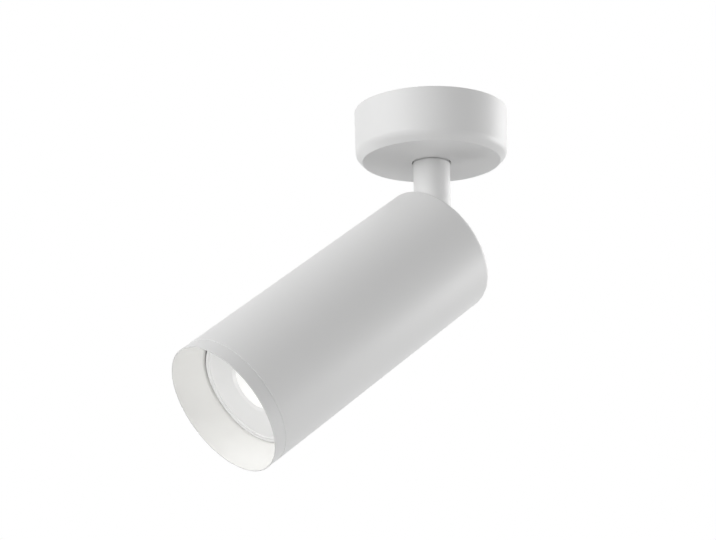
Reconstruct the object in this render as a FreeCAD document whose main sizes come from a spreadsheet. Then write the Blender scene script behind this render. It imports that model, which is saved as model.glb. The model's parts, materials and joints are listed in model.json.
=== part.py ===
import FreeCAD, Part
import Sketcher
import math
import os
import re

# White ceiling spotlight: a round canopy, a short stem that turns, and a cylindrical head that tilts.
# Millimetres, +Z up. The origin is the centre of the canopy's ceiling face, and the stem hangs on the Z axis.
# The head is drawn pointing straight down with its tilt pivot at the origin, then tilted towards -X.

document = FreeCAD.newDocument("CeilingSpotlight")
sheet = document.addObject("Spreadsheet::Sheet", "Sizes")

sizes = {
    # canopy
    "canopy_radius": 35.0,
    "canopy_taper": 0.4,
    "canopy_height": 24.5,
    "canopy_rounding": 5.8,
    "canopy_wall": 1.6,
    "canopy_hole_gap": 0.4,
    # ceiling strap and its fasteners
    "strap_turn": 145.2,
    "strap_sheet": 1.5,
    "strap_half_width": 7.0,
    "strap_end_gap": 0.3,
    "strap_ear_drop": 10.0,
    "ceiling_hole_spread": 45.0,
    "ceiling_hole_radius": 2.25,
    "cable_hole_radius": 5.0,
    "side_screw_drop": 6.0,
    "side_screw_radius": 1.5,
    "side_head_radius": 2.8,
    "side_head_height": 1.3,
    "side_screw_sink": 0.15,
    "side_screw_length": 5.5,
    "earth_screw_place": 14.0,
    "earth_screw_radius": 1.5,
    "earth_head_radius": 2.75,
    "earth_head_height": 1.8,
    "earth_screw_length": 5.0,
    "earth_washer_radius": 3.6,
    "earth_washer_sheet": 0.8,
    # terminal block
    "block_length": 27.0,
    "block_width": 14.0,
    "block_height": 11.0,
    "block_inset": 13.5,
    "block_rounding": 0.8,
    "pole_pitch": 8.0,
    "sleeve_radius": 2.3,
    "sleeve_bore": 1.4,
    "sleeve_set_back": 1.0,
    "terminal_screw_radius": 1.1,
    "terminal_head_radius": 1.7,
    "terminal_head_height": 1.2,
    "terminal_head_sink": 0.6,
    "terminal_screw_inset": 3.6,
    "screw_slot_width": 0.5,
    "screw_slot_depth": 0.6,
    "block_screw_radius": 1.25,
    "block_head_radius": 2.2,
    "block_head_height": 1.4,
    # stem and pan bearing
    "stem_radius": 8.35,
    "stem_bore": 5.0,
    "neck_radius": 7.0,
    "neck_recess": 0.8,
    "bush_flange_radius": 12.5,
    "bush_flange": 1.0,
    "stop_washer_radius": 10.4,
    "stop_washer_sheet": 0.8,
    "stop_half_width": 1.4,
    "stop_overlap": 0.9,
    "spring_sheet": 0.5,
    "spring_rise": 0.8,
    "spring_radius": 10.0,
    "nut_across": 19.0,
    "nut_height": 4.0,
    "nut_chamfer": 0.6,
    "neck_end": 1.0,
    "grommet_flange": 1.0,
    "grommet_depth": 5.0,
    # leads and their fibre sleeve
    "fibre_radius": 2.3,
    "fibre_wall": 0.4,
    "lead_radius": 0.75,
    "lead_spread": 0.95,
    "fibre_stub": 1.0,
    "lead_stub": 0.6,
    "hinge_lead_gap": 3.3,
    "block_lead_run": 4.0,
    # tilt hinge
    "pivot_drop": 66.7,
    "rest_tilt": 52.7,
    "eye_radius": 4.5,
    "fork_half_gap": 2.7,
    "cheek": 1.9,
    "friction_washer": 0.4,
    "ear": 1.5,
    "pivot_screw_radius": 1.5,
    "pivot_head_radius": 2.6,
    "pivot_head_height": 1.5,
    "pivot_key_radius": 1.0,
    "pivot_key_depth": 0.9,
    "shoulder_gap": 0.8,
    "shoulder": 1.5,
    "spigot_length": 9.0,
    "fork_bore": 2.8,
    # head housing
    "head_radius": 30.0,
    "head_wall": 1.6,
    "head_length": 137.0,
    "rear_reach": 3.5,
    "rear_rounding": 2.5,
    "slot_gap": 0.5,
    "tilt_limit": 60.0,
    "boss_inset": 7.9,
    "boss_radius": 3.5,
    # yoke and holder bracket
    "yoke_drop": 12.0,
    "yoke_plate": 1.8,
    "yoke_half_width": 6.0,
    "yoke_hole": 3.2,
    "yoke_rounding": 1.2,
    "bracket_sheet": 1.2,
    "bracket_half_width": 7.0,
    "bracket_side_gap": 0.8,
    "foot_length": 8.0,
    "bend_radius": 1.0,
    "yoke_screw_radius": 1.5,
    "yoke_screw_grip": 6.0,
    "yoke_head_radius": 2.75,
    "yoke_head_height": 1.8,
    # lampholder
    "holder_height": 16.0,
    "holder_half_length": 15.5,
    "holder_half_width": 9.5,
    "holder_lip": 3.0,
    "holder_chamber": 6.0,
    "chamber_gap": 0.4,
    "holder_seat_gap": 0.3,
    "holder_screw_offset": 10.2,
    "holder_screw_radius": 1.5,
    "holder_screw_grip": 6.0,
    "holder_head_radius": 2.6,
    "holder_head_height": 1.8,
    "contact_sheet": 0.6,
    "contact_half_width": 1.6,
    "contact_reach": 2.2,
    "contact_gap": 0.1,
    "lead_hole_gap": 0.5,
    "fan_lift": 2.8,
    "fan_height": 8.0,
    "fibre_set_back": 5.0,
    "earth_loop": 14.5,
    "tag_radius": 3.0,
    "tag_sheet": 0.8,
    "tag_barrel": 1.3,
    "tag_barrel_length": 4.5,
    "tag_screw_radius": 1.5,
    "tag_head_radius": 2.6,
    "tag_head_height": 1.6,
    # trim ring and seal
    "ring_band": 6.2,
    "seam_gap": 0.05,
    "seam_chamfer": 0.3,
    "lip_wall": 0.5,
    "lip_rounding": 0.2,
    "throat_gap": 0.35,
    "ring_depth": 13.4,
    "throat_depth": 1.6,
    "seal_section": 0.6,
    "seal_inset": 4.4,
    "groove_gap": 0.2,
    # lamp
    "lamp_gap": 3.5,
    "lamp_face_depth": 14.3,
    "lamp_length": 47.9,
    "cover_depth": 6.0,
    "cover_rim": 2.3,
    "cover_step": 0.5,
    "cover_sheet": 1.4,
    "dish_depth": 2.7,
    "eye_depth": 0.7,
    "eye_bead": 0.35,
    "lens_sheet": 1.2,
    "lens_lap": 1.0,
    "shell_wall": 1.5,
    "shell_inset": 0.5,
    "shell_bowl": 8.0,
    "shell_taper": 22.0,
    "ledge_width": 2.5,
    "board_sheet": 1.6,
    "cap_radius": 14.0,
    "cap_wall": 1.5,
    "cap_floor": 3.0,
    "cap_lap": 4.0,
    "driver_sheet": 1.6,
    "driver_length": 14.0,
    "pin_spread": 5.0,
    "pin_radius": 1.5,
    "pin_length": 7.0,
    "pin_head_radius": 2.5,
    "pin_head_height": 2.3,
    "pin_root": 2.0,
    "bayonet_turn": 45.0,
    # clearances
    "bond_gap": 0.03,
    "thread_gap": 0.04,
    "running_gap": 0.08,
    "face_gap": 0.03,
    "overrun": 1.0,
}

# Parts of the lamp's radius that its recessed eye takes up, at the face and at the lens.
eye_outer_share = 0.498
eye_inner_share = 0.422

# Sizes that follow from others, which the sheet holds as formulas.
followers = {
    "block_offset": "canopy_radius - canopy_taper - canopy_wall - block_inset",
    "boss_offset": "head_radius - head_wall - boss_inset",
    "leg_offset": "boss_offset + boss_radius + bracket_side_gap",
    "tag_offset": "(holder_screw_offset + holder_head_radius + leg_offset) / 2",
    "tag_screw_length": "bracket_sheet - face_gap",
    "lamp_radius": "head_radius - head_wall - lamp_gap",
    "throat_radius": "lamp_radius + throat_gap",
    "eye_outer_radius": f"lamp_radius * {eye_outer_share}",
    "eye_inner_radius": f"lamp_radius * {eye_inner_share}",
    "lamp_base_drop": "head_length - rear_reach - lamp_face_depth - lamp_length",
    "fan_end": "lamp_base_drop - holder_seat_gap - holder_height - bracket_sheet - fan_lift",
    "fan_start": "fan_end - fan_height",
    "fibre_end": "fan_start - fibre_set_back",
}

for row, (alias, content) in enumerate((sizes | followers).items(), 1):
    sheet.set(f"A{row}", alias)
    sheet.set(f"B{row}", f"={content}" if alias in followers else str(content))
    sheet.setAlias(f"B{row}", alias)
    document.recompute()


def bound(text):
    """The same expression with each size read from the sheet."""
    known = sizes | followers
    return re.sub(r"[A-Za-z_]\w*", lambda word: f"Sizes.{word[0]}" if word[0] in known else word[0], text)


def value(text):
    """What an expression comes to now."""
    result = sheet.evalExpression(bound(text))
    return float(getattr(result, "Value", result))


# Levels measured from the ceiling.
floor_level = "(canopy_wall - canopy_height)"
hub_level = "(neck_recess - canopy_height)"
flange_level = f"({floor_level} + bush_flange)"
washer_level = f"({flange_level} + face_gap)"
spring_level = f"({washer_level} + stop_washer_sheet)"
nut_level = f"({spring_level} + spring_rise + spring_sheet)"
neck_level = f"({nut_level} + nut_height + neck_end)"
grommet_level = f"({neck_level} + grommet_flange)"
wire_level = "(-strap_sheet - block_height / 2)"
hole_radius = "(stem_radius + canopy_hole_gap)"
foot_radius = "(canopy_radius - canopy_taper)"
side_face = f"({foot_radius} - side_screw_sink)"
strap_reach = "sqrt((canopy_radius - canopy_taper - canopy_wall - strap_end_gap)^2 - strap_half_width^2)"

# Distances from the pivot along the stem, and along the head to its front.
shoulder_level = "(eye_radius + shoulder_gap)"
tube_level = f"({shoulder_level} + shoulder)"
slot_radius = "(stem_radius + slot_gap)"
slot_reach = "(rear_reach * tan(tilt_limit * 1 deg) + stem_radius / cos(tilt_limit * 1 deg) + slot_gap)"
slot_centre = f"({slot_radius} - {slot_reach})"
front_level = "(rear_reach - head_length)"
seam_level = f"({front_level} + ring_band)"
face_level = f"({front_level} + lamp_face_depth)"
base_level = f"({face_level} + lamp_length)"
holder_front = f"({base_level} + holder_seat_gap)"
holder_back = f"({holder_front} + holder_height)"
bar_level = f"({holder_back} + bracket_sheet)"
yoke_foot = "(-yoke_drop - yoke_plate)"
bracket_foot = f"({yoke_foot} - bracket_sheet)"
ear_inner = "(fork_half_gap + cheek + friction_washer + face_gap)"
ear_outer = f"({ear_inner} + ear)"
spigot_radius = "(head_radius - head_wall - running_gap)"

upright = FreeCAD.Rotation()
along_x = FreeCAD.Rotation(FreeCAD.Vector(0, 1, 0), 90)
along_y = FreeCAD.Rotation(FreeCAD.Vector(1, 0, 0), -90)
turns = {"z": upright, "x": along_x, "y": along_y}

# Part of the overrun within which two edges count as the same place.
near = value("overrun / 1000")
# Part of a lead's shorter run that each bend takes up.
bend_share = 0.45
# Part of its volume by which a lead may differ from its section times its length.
volume_share = 0.01
# Part of the cap's bore that the driver board spans.
board_share = 0.9
# Least cosine between an edge and the axis that it runs along.
straight_share = 0.999

nodes = []


def bind(thing, **texts):
    """Tie properties of an object to the sheet."""
    for name, text in texts.items():
        thing.setExpression(name, bound(text))
    return thing


def move(thing, x="0", y="0", z="0"):
    """Tie an object's place to the sheet."""
    for axis, text in zip("xyz", (x, y, z)):
        thing.setExpression(f".Placement.Base.{axis}", bound(text))
    return thing


def node(thing, label, frame="ceiling"):
    """Name a finished sub-part and put it where its frame is: ceiling, strap, pivot or head."""
    thing.Label = label
    axis = FreeCAD.Vector(0, 1, 0) if frame == "head" else FreeCAD.Vector(0, 0, 1)
    thing.Placement = FreeCAD.Placement(FreeCAD.Vector(), FreeCAD.Rotation(axis, 1))
    angle = {"ceiling": "0", "strap": "strap_turn", "pivot": "0", "head": "rest_tilt"}[frame]
    thing.setExpression(".Placement.Rotation.Angle", bound(angle))
    thing.setExpression(".Placement.Base.z", bound("-pivot_drop" if frame in ("pivot", "head") else "0"))
    nodes.append(thing)
    return thing


def rod(name, radius, length, x="0", y="0", z="0", along="z"):
    """Cylinder that starts at a place and runs along an axis."""
    thing = document.addObject("Part::Cylinder", name)
    thing.Placement = FreeCAD.Placement(FreeCAD.Vector(), turns[along])
    bind(thing, Radius=radius, Height=length)
    return move(thing, x, y, z)


def cone(name, start_radius, end_radius, length, x="0", y="0", z="0", along="z"):
    """Cone that starts at a place and runs along an axis."""
    thing = document.addObject("Part::Cone", name)
    thing.Placement = FreeCAD.Placement(FreeCAD.Vector(), turns[along])
    bind(thing, Radius1=start_radius, Radius2=end_radius, Height=length)
    return move(thing, x, y, z)


def box(name, x, y, z):
    """Box between a low and a high place on each axis."""
    thing = document.addObject("Part::Box", name)
    sides = {"Length": x, "Width": y, "Height": z}
    bind(thing, **{side: f"({high}) - ({low})" for side, (low, high) in sides.items()})
    return move(thing, x[0], y[0], z[0])


def fuse(name, *things):
    """One solid from several."""
    thing = document.addObject("Part::MultiFuse", name)
    thing.Shapes = list(things)
    thing.Refine = True
    return thing


def cut(name, base, *tools):
    """A solid less others."""
    thing = document.addObject("Part::Cut", name)
    thing.Base = base
    thing.Tool = tools[0] if len(tools) == 1 else fuse(name + "_tools", *tools)
    thing.Refine = True
    return thing


def common(name, first, second):
    """What two solids share."""
    thing = document.addObject("Part::Common", name)
    thing.Base = first
    thing.Tool = second
    return thing


def group(name, things):
    """Like pieces kept as separate solids in one node."""
    thing = document.addObject("Part::Compound", name)
    thing.Links = list(things)
    return thing


def new_body(name):
    """An empty body."""
    return document.addObject("PartDesign::Body", name)


def new_sketch(body, name, role, offset="0"):
    """Sketch on one of the body's own origin planes, moved along the plane's normal."""
    sketch = body.newObject("Sketcher::SketchObject", name)
    plane = next(feature for feature in body.Origin.OriginFeatures if feature.Role == role)
    sketch.AttachmentSupport = [(plane, "")]
    sketch.MapMode = "FlatFace"
    sketch.setExpression(".AttachmentOffset.Base.z", bound(offset))
    return sketch


def hold(sketch, constraint, text):
    """Add a constraint whose size comes from the sheet."""
    place = sketch.addConstraint(constraint)
    sketch.setExpression(f"Constraints[{place}]", bound(text))


def draw_outline(sketch, points):
    """Closed outline whose corners are held by their distances from the sketch's origin."""
    corners = [FreeCAD.Vector(value(x), value(y), 0) for x, y in points]
    ends = corners[1:] + corners[:1]
    first = sketch.GeometryCount
    sketch.addGeometry([Part.LineSegment(start, end) for start, end in zip(corners, ends)], False)
    count = len(corners)
    for place in range(count):
        after = first + (place + 1) % count
        sketch.addConstraint(Sketcher.Constraint("Coincident", first + place, 2, after, 1))
    for place, (corner, (x, y)) in enumerate(zip(corners, points), first):
        hold(sketch, Sketcher.Constraint("DistanceX", -1, 1, place, 1, corner.x), x)
        hold(sketch, Sketcher.Constraint("DistanceY", -1, 1, place, 1, corner.y), y)


def draw_rectangle(sketch, x, y):
    """Rectangle between a low and a high place on each axis."""
    draw_outline(sketch, [(x[0], y[0]), (x[1], y[0]), (x[1], y[1]), (x[0], y[1])])


def draw_circle(sketch, x, y, radius):
    """Circle held by its centre and radius."""
    centre = FreeCAD.Vector(value(x), value(y), 0)
    circle = sketch.addGeometry(Part.Circle(centre, FreeCAD.Vector(0, 0, 1), value(radius)), False)
    hold(sketch, Sketcher.Constraint("DistanceX", -1, 1, circle, 3, centre.x), x)
    hold(sketch, Sketcher.Constraint("DistanceY", -1, 1, circle, 3, centre.y), y)
    hold(sketch, Sketcher.Constraint("Radius", circle, value(radius)), radius)


def turned(name, outline):
    """Body turned round the Z axis from an outline of radius and level."""
    body = new_body(name)
    sketch = new_sketch(body, name + "_outline", "XZ_Plane")
    draw_outline(sketch, outline)
    feature = body.newObject("PartDesign::Revolution", name + "_turned")
    feature.Profile = sketch
    feature.ReferenceAxis = (sketch, ["V_Axis"])
    feature.Angle = 360
    document.recompute()
    return body


def pad(body, sketch, length):
    """Pad along the sketch's normal."""
    feature = body.newObject("PartDesign::Pad", sketch.Name + "_pad")
    feature.Profile = sketch
    bind(feature, Length=length)
    document.recompute()
    return feature


def pocket(body, sketch, depth):
    """Pocket against the sketch's normal, checked to take something away."""
    before = body.Shape.Volume
    feature = body.newObject("PartDesign::Pocket", sketch.Name + "_pocket")
    feature.Profile = sketch
    bind(feature, Length=depth)
    document.recompute()
    if body.Shape.Volume >= before:
        raise ValueError(f"{feature.Name} cuts nothing")
    return feature


def dress(body, kind, name, size, chosen):
    """Fillet or chamfer on the edges that a test picks."""
    base = body.Tip
    edges = [f"Edge{place}" for place, edge in enumerate(base.Shape.Edges, 1) if chosen(edge)]
    if not edges:
        raise ValueError(f"{name} finds no edge")
    feature = body.newObject(f"PartDesign::{kind}", name)
    feature.Base = (base, edges)
    bind(feature, **{"Radius" if kind == "Fillet" else "Size": size})
    document.recompute()
    return feature


def rim(radius, level):
    """Test for a round edge about the Z axis with a given radius and level."""
    def matches(edge):
        if not isinstance(edge.Curve, Part.Circle):
            return False
        centre = edge.Curve.Center
        right_place = abs(centre.z - value(level)) < near and math.hypot(centre.x, centre.y) < near
        return right_place and abs(edge.Curve.Radius - value(radius)) < near

    return matches


def upright_edge(edge):
    """Test for a straight edge that runs along Z."""
    if not isinstance(edge.Curve, Part.Line):
        return False
    return abs(edge.Curve.Direction.z) > straight_share


def lead(name, points, radius="lead_radius"):
    """Insulated lead along straight runs joined by tangent arcs, each as large as its two runs allow."""
    corners = [FreeCAD.Vector(*(value(text) for text in point)) for point in points]
    edges = []
    start = corners[0]
    for before, corner, after in zip(corners, corners[1:], corners[2:]):
        back = (before - corner).normalize()
        ahead = (after - corner).normalize()
        half_turn = (math.pi - back.getAngle(ahead)) / 2
        trim = bend_share * min(before.distanceToPoint(corner), after.distanceToPoint(corner))
        arc_radius = trim / math.tan(half_turn)
        middle = corner + (back + ahead).normalize() * (arc_radius / math.cos(half_turn) - arc_radius)
        entry = corner + back * trim
        leave = corner + ahead * trim
        edges += [Part.LineSegment(start, entry).toShape(), Part.Arc(entry, middle, leave).toShape()]
        start = leave
        print(name, "bend radius", round(arc_radius, 2))
    edges.append(Part.LineSegment(start, corners[-1]).toShape())
    path = Part.Wire(edges)
    section = Part.Wire(Part.makeCircle(value(radius), corners[0], corners[1] - corners[0]))
    solid = path.makePipeShell([section], True, False)
    expected = math.pi * value(radius) ** 2 * path.Length
    if abs(solid.Volume - expected) > volume_share * expected:
        raise ValueError(f"{name} has volume {solid.Volume}, not {expected}")
    thing = document.addObject("Part::Feature", name)
    thing.Shape = solid
    return thing


def inward(thing, side, outset="0"):
    """Lay a cylinder or cone along a side screw's axis, pointing in from the canopy's side."""
    thing.Placement.Rotation = FreeCAD.Rotation(FreeCAD.Vector(0, 1, 0), -90 * side)
    return move(thing, f"{side} * ({side_face} + {outset})", "0", "-side_screw_drop")


def canopy():
    """Pressed cup with a soft lower edge, a hole for the stem and two countersunk side holes."""
    shell = turned("canopy_shell", [
        ("canopy_radius", "0"),
        (foot_radius, "-canopy_height"),
        (hole_radius, "-canopy_height"),
        (hole_radius, floor_level),
        (f"{foot_radius} - canopy_wall", floor_level),
        ("canopy_radius - canopy_wall", "0"),
    ])
    dress(shell, "Fillet", "canopy_outer_round", "canopy_rounding", rim(foot_radius, "-canopy_height"))
    dress(shell, "Fillet", "canopy_inner_round", "canopy_rounding - canopy_wall",
          rim(f"{foot_radius} - canopy_wall", floor_level))
    sink_radius = "side_head_radius + thread_gap"
    hole_width = "side_screw_radius + thread_gap"
    tools = []
    for side in (1, -1):
        name = "near" if side > 0 else "far"
        tools += [
            inward(cone(f"side_sink_{name}", sink_radius, hole_width, "side_head_height"), side),
            inward(rod(f"side_mouth_{name}", sink_radius, "overrun"), side, "overrun"),
            inward(rod(f"side_hole_{name}", hole_width, "canopy_wall + overrun"), side),
        ]
    return node(cut("canopy_cup", shell, *tools), "canopy", "strap")


def canopy_screws():
    """Two countersunk screws that hold the canopy to the strap's ears."""
    screws = []
    for side in (1, -1):
        name = "near" if side > 0 else "far"
        head = cone(f"side_head_{name}", "side_head_radius", "side_screw_radius", "side_head_height")
        inward(head, side)
        shank = inward(rod(f"side_shank_{name}", "side_screw_radius", "side_screw_length"), side)
        reach = (f"{side_face} - screw_slot_depth", f"{side_face} + overrun")
        slot = box(f"side_slot_{name}", reach if side > 0 else tuple(f"-({end})" for end in reversed(reach)),
                   ("-side_head_radius - overrun", "side_head_radius + overrun"),
                   ("-side_screw_drop - screw_slot_width / 2", "-side_screw_drop + screw_slot_width / 2"))
        screws.append(cut(f"side_screw_{name}", fuse(f"side_blank_{name}", head, shank), slot))
    return node(group("side_screw_pair", screws), "canopy_screws", "strap")


def ceiling_strap():
    """Folded steel strap on the ceiling, with a wing that carries the terminal block."""
    body = new_body("strap_body")
    plate = new_sketch(body, "strap_plate", "XY_Plane", "-strap_sheet")
    wing_reach = "(block_offset + block_width / 2)"
    wing_half = "(block_length / 2)"
    draw_outline(plate, [
        (f"-{strap_reach}", "-strap_half_width"),
        (strap_reach, "-strap_half_width"),
        (strap_reach, "strap_half_width"),
        (wing_half, "strap_half_width"),
        (wing_half, wing_reach),
        (f"-{wing_half}", wing_reach),
        (f"-{wing_half}", "strap_half_width"),
        (f"-{strap_reach}", "strap_half_width"),
    ])
    pad(body, plate, "strap_sheet")
    ears = new_sketch(body, "strap_ears", "XY_Plane", "-strap_ear_drop")
    for side in (1, -1):
        draw_rectangle(ears, (f"{side} * ({strap_reach} - strap_sheet)", f"{side} * {strap_reach}"),
                       ("-strap_half_width", "strap_half_width"))
    pad(body, ears, "strap_ear_drop")
    dress(body, "Fillet", "strap_bends", "bend_radius", lambda edge: isinstance(edge.Curve, Part.Line)
          and abs(abs(edge.CenterOfMass.x) - value(strap_reach)) < near and abs(edge.CenterOfMass.z) < near)
    holes = new_sketch(body, "strap_holes", "XY_Plane")
    for side in (1, -1):
        draw_circle(holes, f"{side} * ceiling_hole_spread / 2", "0", "ceiling_hole_radius")
    draw_circle(holes, "0", "0", "cable_hole_radius")
    draw_circle(holes, "earth_screw_place", "0", "earth_screw_radius + thread_gap")
    draw_circle(holes, "pole_pitch / 2", "block_offset", "block_screw_radius + thread_gap")
    pocket(body, holes, "strap_sheet + overrun")
    threads = new_sketch(body, "strap_threads", "YZ_Plane", f"{strap_reach} + overrun")
    draw_circle(threads, "0", "-side_screw_drop", "side_screw_radius + thread_gap")
    pocket(body, threads, f"2 * ({strap_reach} + overrun)")
    return node(body, "ceiling_strap", "strap")


def earth_point():
    """Screw and washer in the strap for the mains earth lead."""
    seat = "-strap_sheet - earth_washer_sheet"
    washer = cut("earth_washer_ring",
                 rod("earth_washer_disc", "earth_washer_radius", "earth_washer_sheet",
                     x="earth_screw_place", z=seat),
                 rod("earth_washer_hole", "earth_screw_radius + running_gap",
                     "earth_washer_sheet + 2 * overrun", x="earth_screw_place", z=f"{seat} - overrun"))
    node(group("earth_washer_piece", [washer]), "earth_washer", "strap")
    head_level = f"{seat} - earth_head_height"
    blank = fuse("earth_blank",
                 rod("earth_head", "earth_head_radius", "earth_head_height", x="earth_screw_place",
                     z=head_level),
                 rod("earth_shank", "earth_screw_radius", "earth_screw_length", x="earth_screw_place",
                     z="-earth_screw_length"))
    slot = box("earth_slot", ("earth_screw_place - earth_head_radius - overrun",
                              "earth_screw_place + earth_head_radius + overrun"),
               ("-screw_slot_width / 2", "screw_slot_width / 2"),
               (f"{head_level} - overrun", f"{head_level} + screw_slot_depth"))
    node(cut("earth_screw_piece", blank, slot), "earth_screw", "strap")


def terminals():
    """Three-pole block under the strap's wing: body, brass sleeves, clamp screws and a fixing screw."""
    low_y = "(block_offset - block_width / 2)"
    high_y = "(block_offset + block_width / 2)"
    low_z = "(-strap_sheet - block_height)"
    blank = box("block_blank", ("-block_length / 2", "block_length / 2"), (low_y, high_y),
                (low_z, "-strap_sheet"))
    document.recompute()
    rounded = document.addObject("Part::Fillet", "block_rounded")
    rounded.Base = blank
    corners = [place for place, edge in enumerate(blank.Shape.Edges, 1) if upright_edge(edge)]
    rounded.Edges = [(place, value("block_rounding"), value("block_rounding")) for place in corners]
    tools = []
    sleeves = []
    screws = []
    for pole in (-1, 0, 1):
        x = f"{pole} * pole_pitch"
        tools.append(rod(f"pole_bore_{pole + 2}", "sleeve_radius + bond_gap", "block_width + 2 * overrun",
                         x=x, y=f"{low_y} - overrun", z=wire_level, along="y"))
        tube = rod(f"sleeve_tube_{pole + 2}", "sleeve_radius", "block_width - 2 * sleeve_set_back", x=x,
                   y=f"{low_y} + sleeve_set_back", z=wire_level, along="y")
        sleeve_tools = [rod(f"sleeve_bore_{pole + 2}", "sleeve_bore", "block_width + 2 * overrun", x=x,
                            y=f"{low_y} - overrun", z=wire_level, along="y")]
        for end in ("inner", "outer"):
            y = f"{low_y} + terminal_screw_inset" if end == "inner" else f"{high_y} - terminal_screw_inset"
            head_level = f"({low_z} + terminal_head_sink)"
            well = rod(f"well_{end}_{pole + 2}", "terminal_head_radius + thread_gap",
                       f"{wire_level} - {low_z} + overrun", x=x, y=y, z=f"{low_z} - overrun")
            tools.append(well)
            sleeve_tools.append(rod(f"thread_{end}_{pole + 2}", "terminal_screw_radius + thread_gap",
                                    "sleeve_radius + overrun", x=x, y=y,
                                    z=f"{wire_level} - sleeve_radius - overrun"))
            head = rod(f"clamp_head_{end}_{pole + 2}", "terminal_head_radius", "terminal_head_height",
                       x=x, y=y, z=head_level)
            shank = rod(f"clamp_shank_{end}_{pole + 2}", "terminal_screw_radius",
                        f"{wire_level} - lead_radius - thread_gap - {head_level}", x=x, y=y, z=head_level)
            slot = box(f"clamp_slot_{end}_{pole + 2}",
                       (f"{x} - terminal_head_radius - overrun", f"{x} + terminal_head_radius + overrun"),
                       (f"{y} - screw_slot_width / 2", f"{y} + screw_slot_width / 2"),
                       (f"{head_level} - overrun", f"{head_level} + screw_slot_depth"))
            clamp = fuse(f"clamp_blank_{end}_{pole + 2}", head, shank)
            screws.append(cut(f"clamp_{end}_{pole + 2}", clamp, slot))
        sleeves.append(cut(f"sleeve_{pole + 2}", tube, *sleeve_tools))
    screw_x = "pole_pitch / 2"
    head_level = f"({low_z} + terminal_head_sink)"
    tools.append(rod("block_screw_well", "block_head_radius + thread_gap",
                     "block_head_height + terminal_head_sink", x=screw_x, y="block_offset", z=low_z))
    tools.append(rod("block_screw_hole", "block_screw_radius + thread_gap", "block_height + 2 * overrun",
                     x=screw_x, y="block_offset", z=f"{low_z} - overrun"))
    node(cut("block_piece", rounded, *tools), "terminal_block", "strap")
    node(group("sleeve_set", sleeves), "terminal_sleeves", "strap")
    node(group("clamp_set", screws), "terminal_screws", "strap")
    fixing = fuse("block_screw_blank",
                  rod("block_screw_head", "block_head_radius", "block_head_height", x=screw_x,
                      y="block_offset", z=head_level),
                  rod("block_screw_shank", "block_screw_radius", f"-{head_level}", x=screw_x,
                      y="block_offset", z=head_level))
    slot = box("block_screw_slot",
               (f"{screw_x} - block_head_radius - overrun", f"{screw_x} + block_head_radius + overrun"),
               ("block_offset - screw_slot_width / 2", "block_offset + screw_slot_width / 2"),
               (f"{head_level} - overrun", f"{head_level} + screw_slot_depth"))
    node(cut("block_screw_piece", fixing, slot), "block_screw", "strap")


def lead_spot(place, frame_turn="0"):
    """Where one of the three leads lies round the sleeve's axis, seen in a frame turned about that axis."""
    angle = f"(90 + 120 * {place} - {frame_turn}) * 1 deg"
    return f"lead_spread * cos({angle})", f"lead_spread * sin({angle})"


def supply_leads():
    """Three leads from the block's inner side down to the stem."""
    leads = []
    low_y = "(block_offset - block_width / 2)"
    for place, pole in ((0, 1), (1, 0), (2, -1)):
        x, y = lead_spot(place, "strap_turn")
        points = [
            (f"{pole} * pole_pitch", f"{low_y} + terminal_screw_inset + terminal_screw_radius", wire_level),
            (f"{pole} * pole_pitch", f"{low_y} - {abs(pole)} * block_lead_run / 2", wire_level),
            (x, y, wire_level),
            (x, y, f"{grommet_level} + fibre_stub + lead_stub + face_gap"),
        ]
        if pole == 0:
            points.pop(1)
        leads.append(lead(f"supply_lead_{place + 1}", points))
    return node(group("supply_lead_set", leads), "supply_leads", "strap")


def pan_bush():
    """Nylon bush in the canopy's hole with a lug that stops the stem's turn."""
    hub_radius = f"{hole_radius} - bond_gap"
    body = turned("bush_turned", [
        ("neck_radius + running_gap", hub_level),
        (hub_radius, hub_level),
        (hub_radius, floor_level),
        ("bush_flange_radius", floor_level),
        ("bush_flange_radius", flange_level),
        ("neck_radius + running_gap", flange_level),
    ])
    lug = new_sketch(body, "bush_lug", "XY_Plane", floor_level)
    draw_rectangle(lug, ("-stop_half_width", "stop_half_width"),
                   ("stop_washer_radius + 2 * running_gap", "bush_flange_radius - bond_gap"))
    pad(body, lug, "bush_flange + stop_washer_sheet + spring_sheet")
    return node(body, "pan_bush")


def stem():
    """Turned tube with a thinner threaded neck."""
    shoulder = f"({hub_level} - face_gap)"
    body = turned("stem_turned", [
        ("stem_bore", f"{tube_level} - pivot_drop"),
        ("stem_radius", f"{tube_level} - pivot_drop"),
        ("stem_radius", shoulder),
        ("neck_radius", shoulder),
        ("neck_radius", neck_level),
        ("stem_bore", neck_level),
    ])
    dress(body, "Chamfer", "neck_chamfer", "nut_chamfer", rim("neck_radius", neck_level))
    return node(body, "stem")


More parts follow.
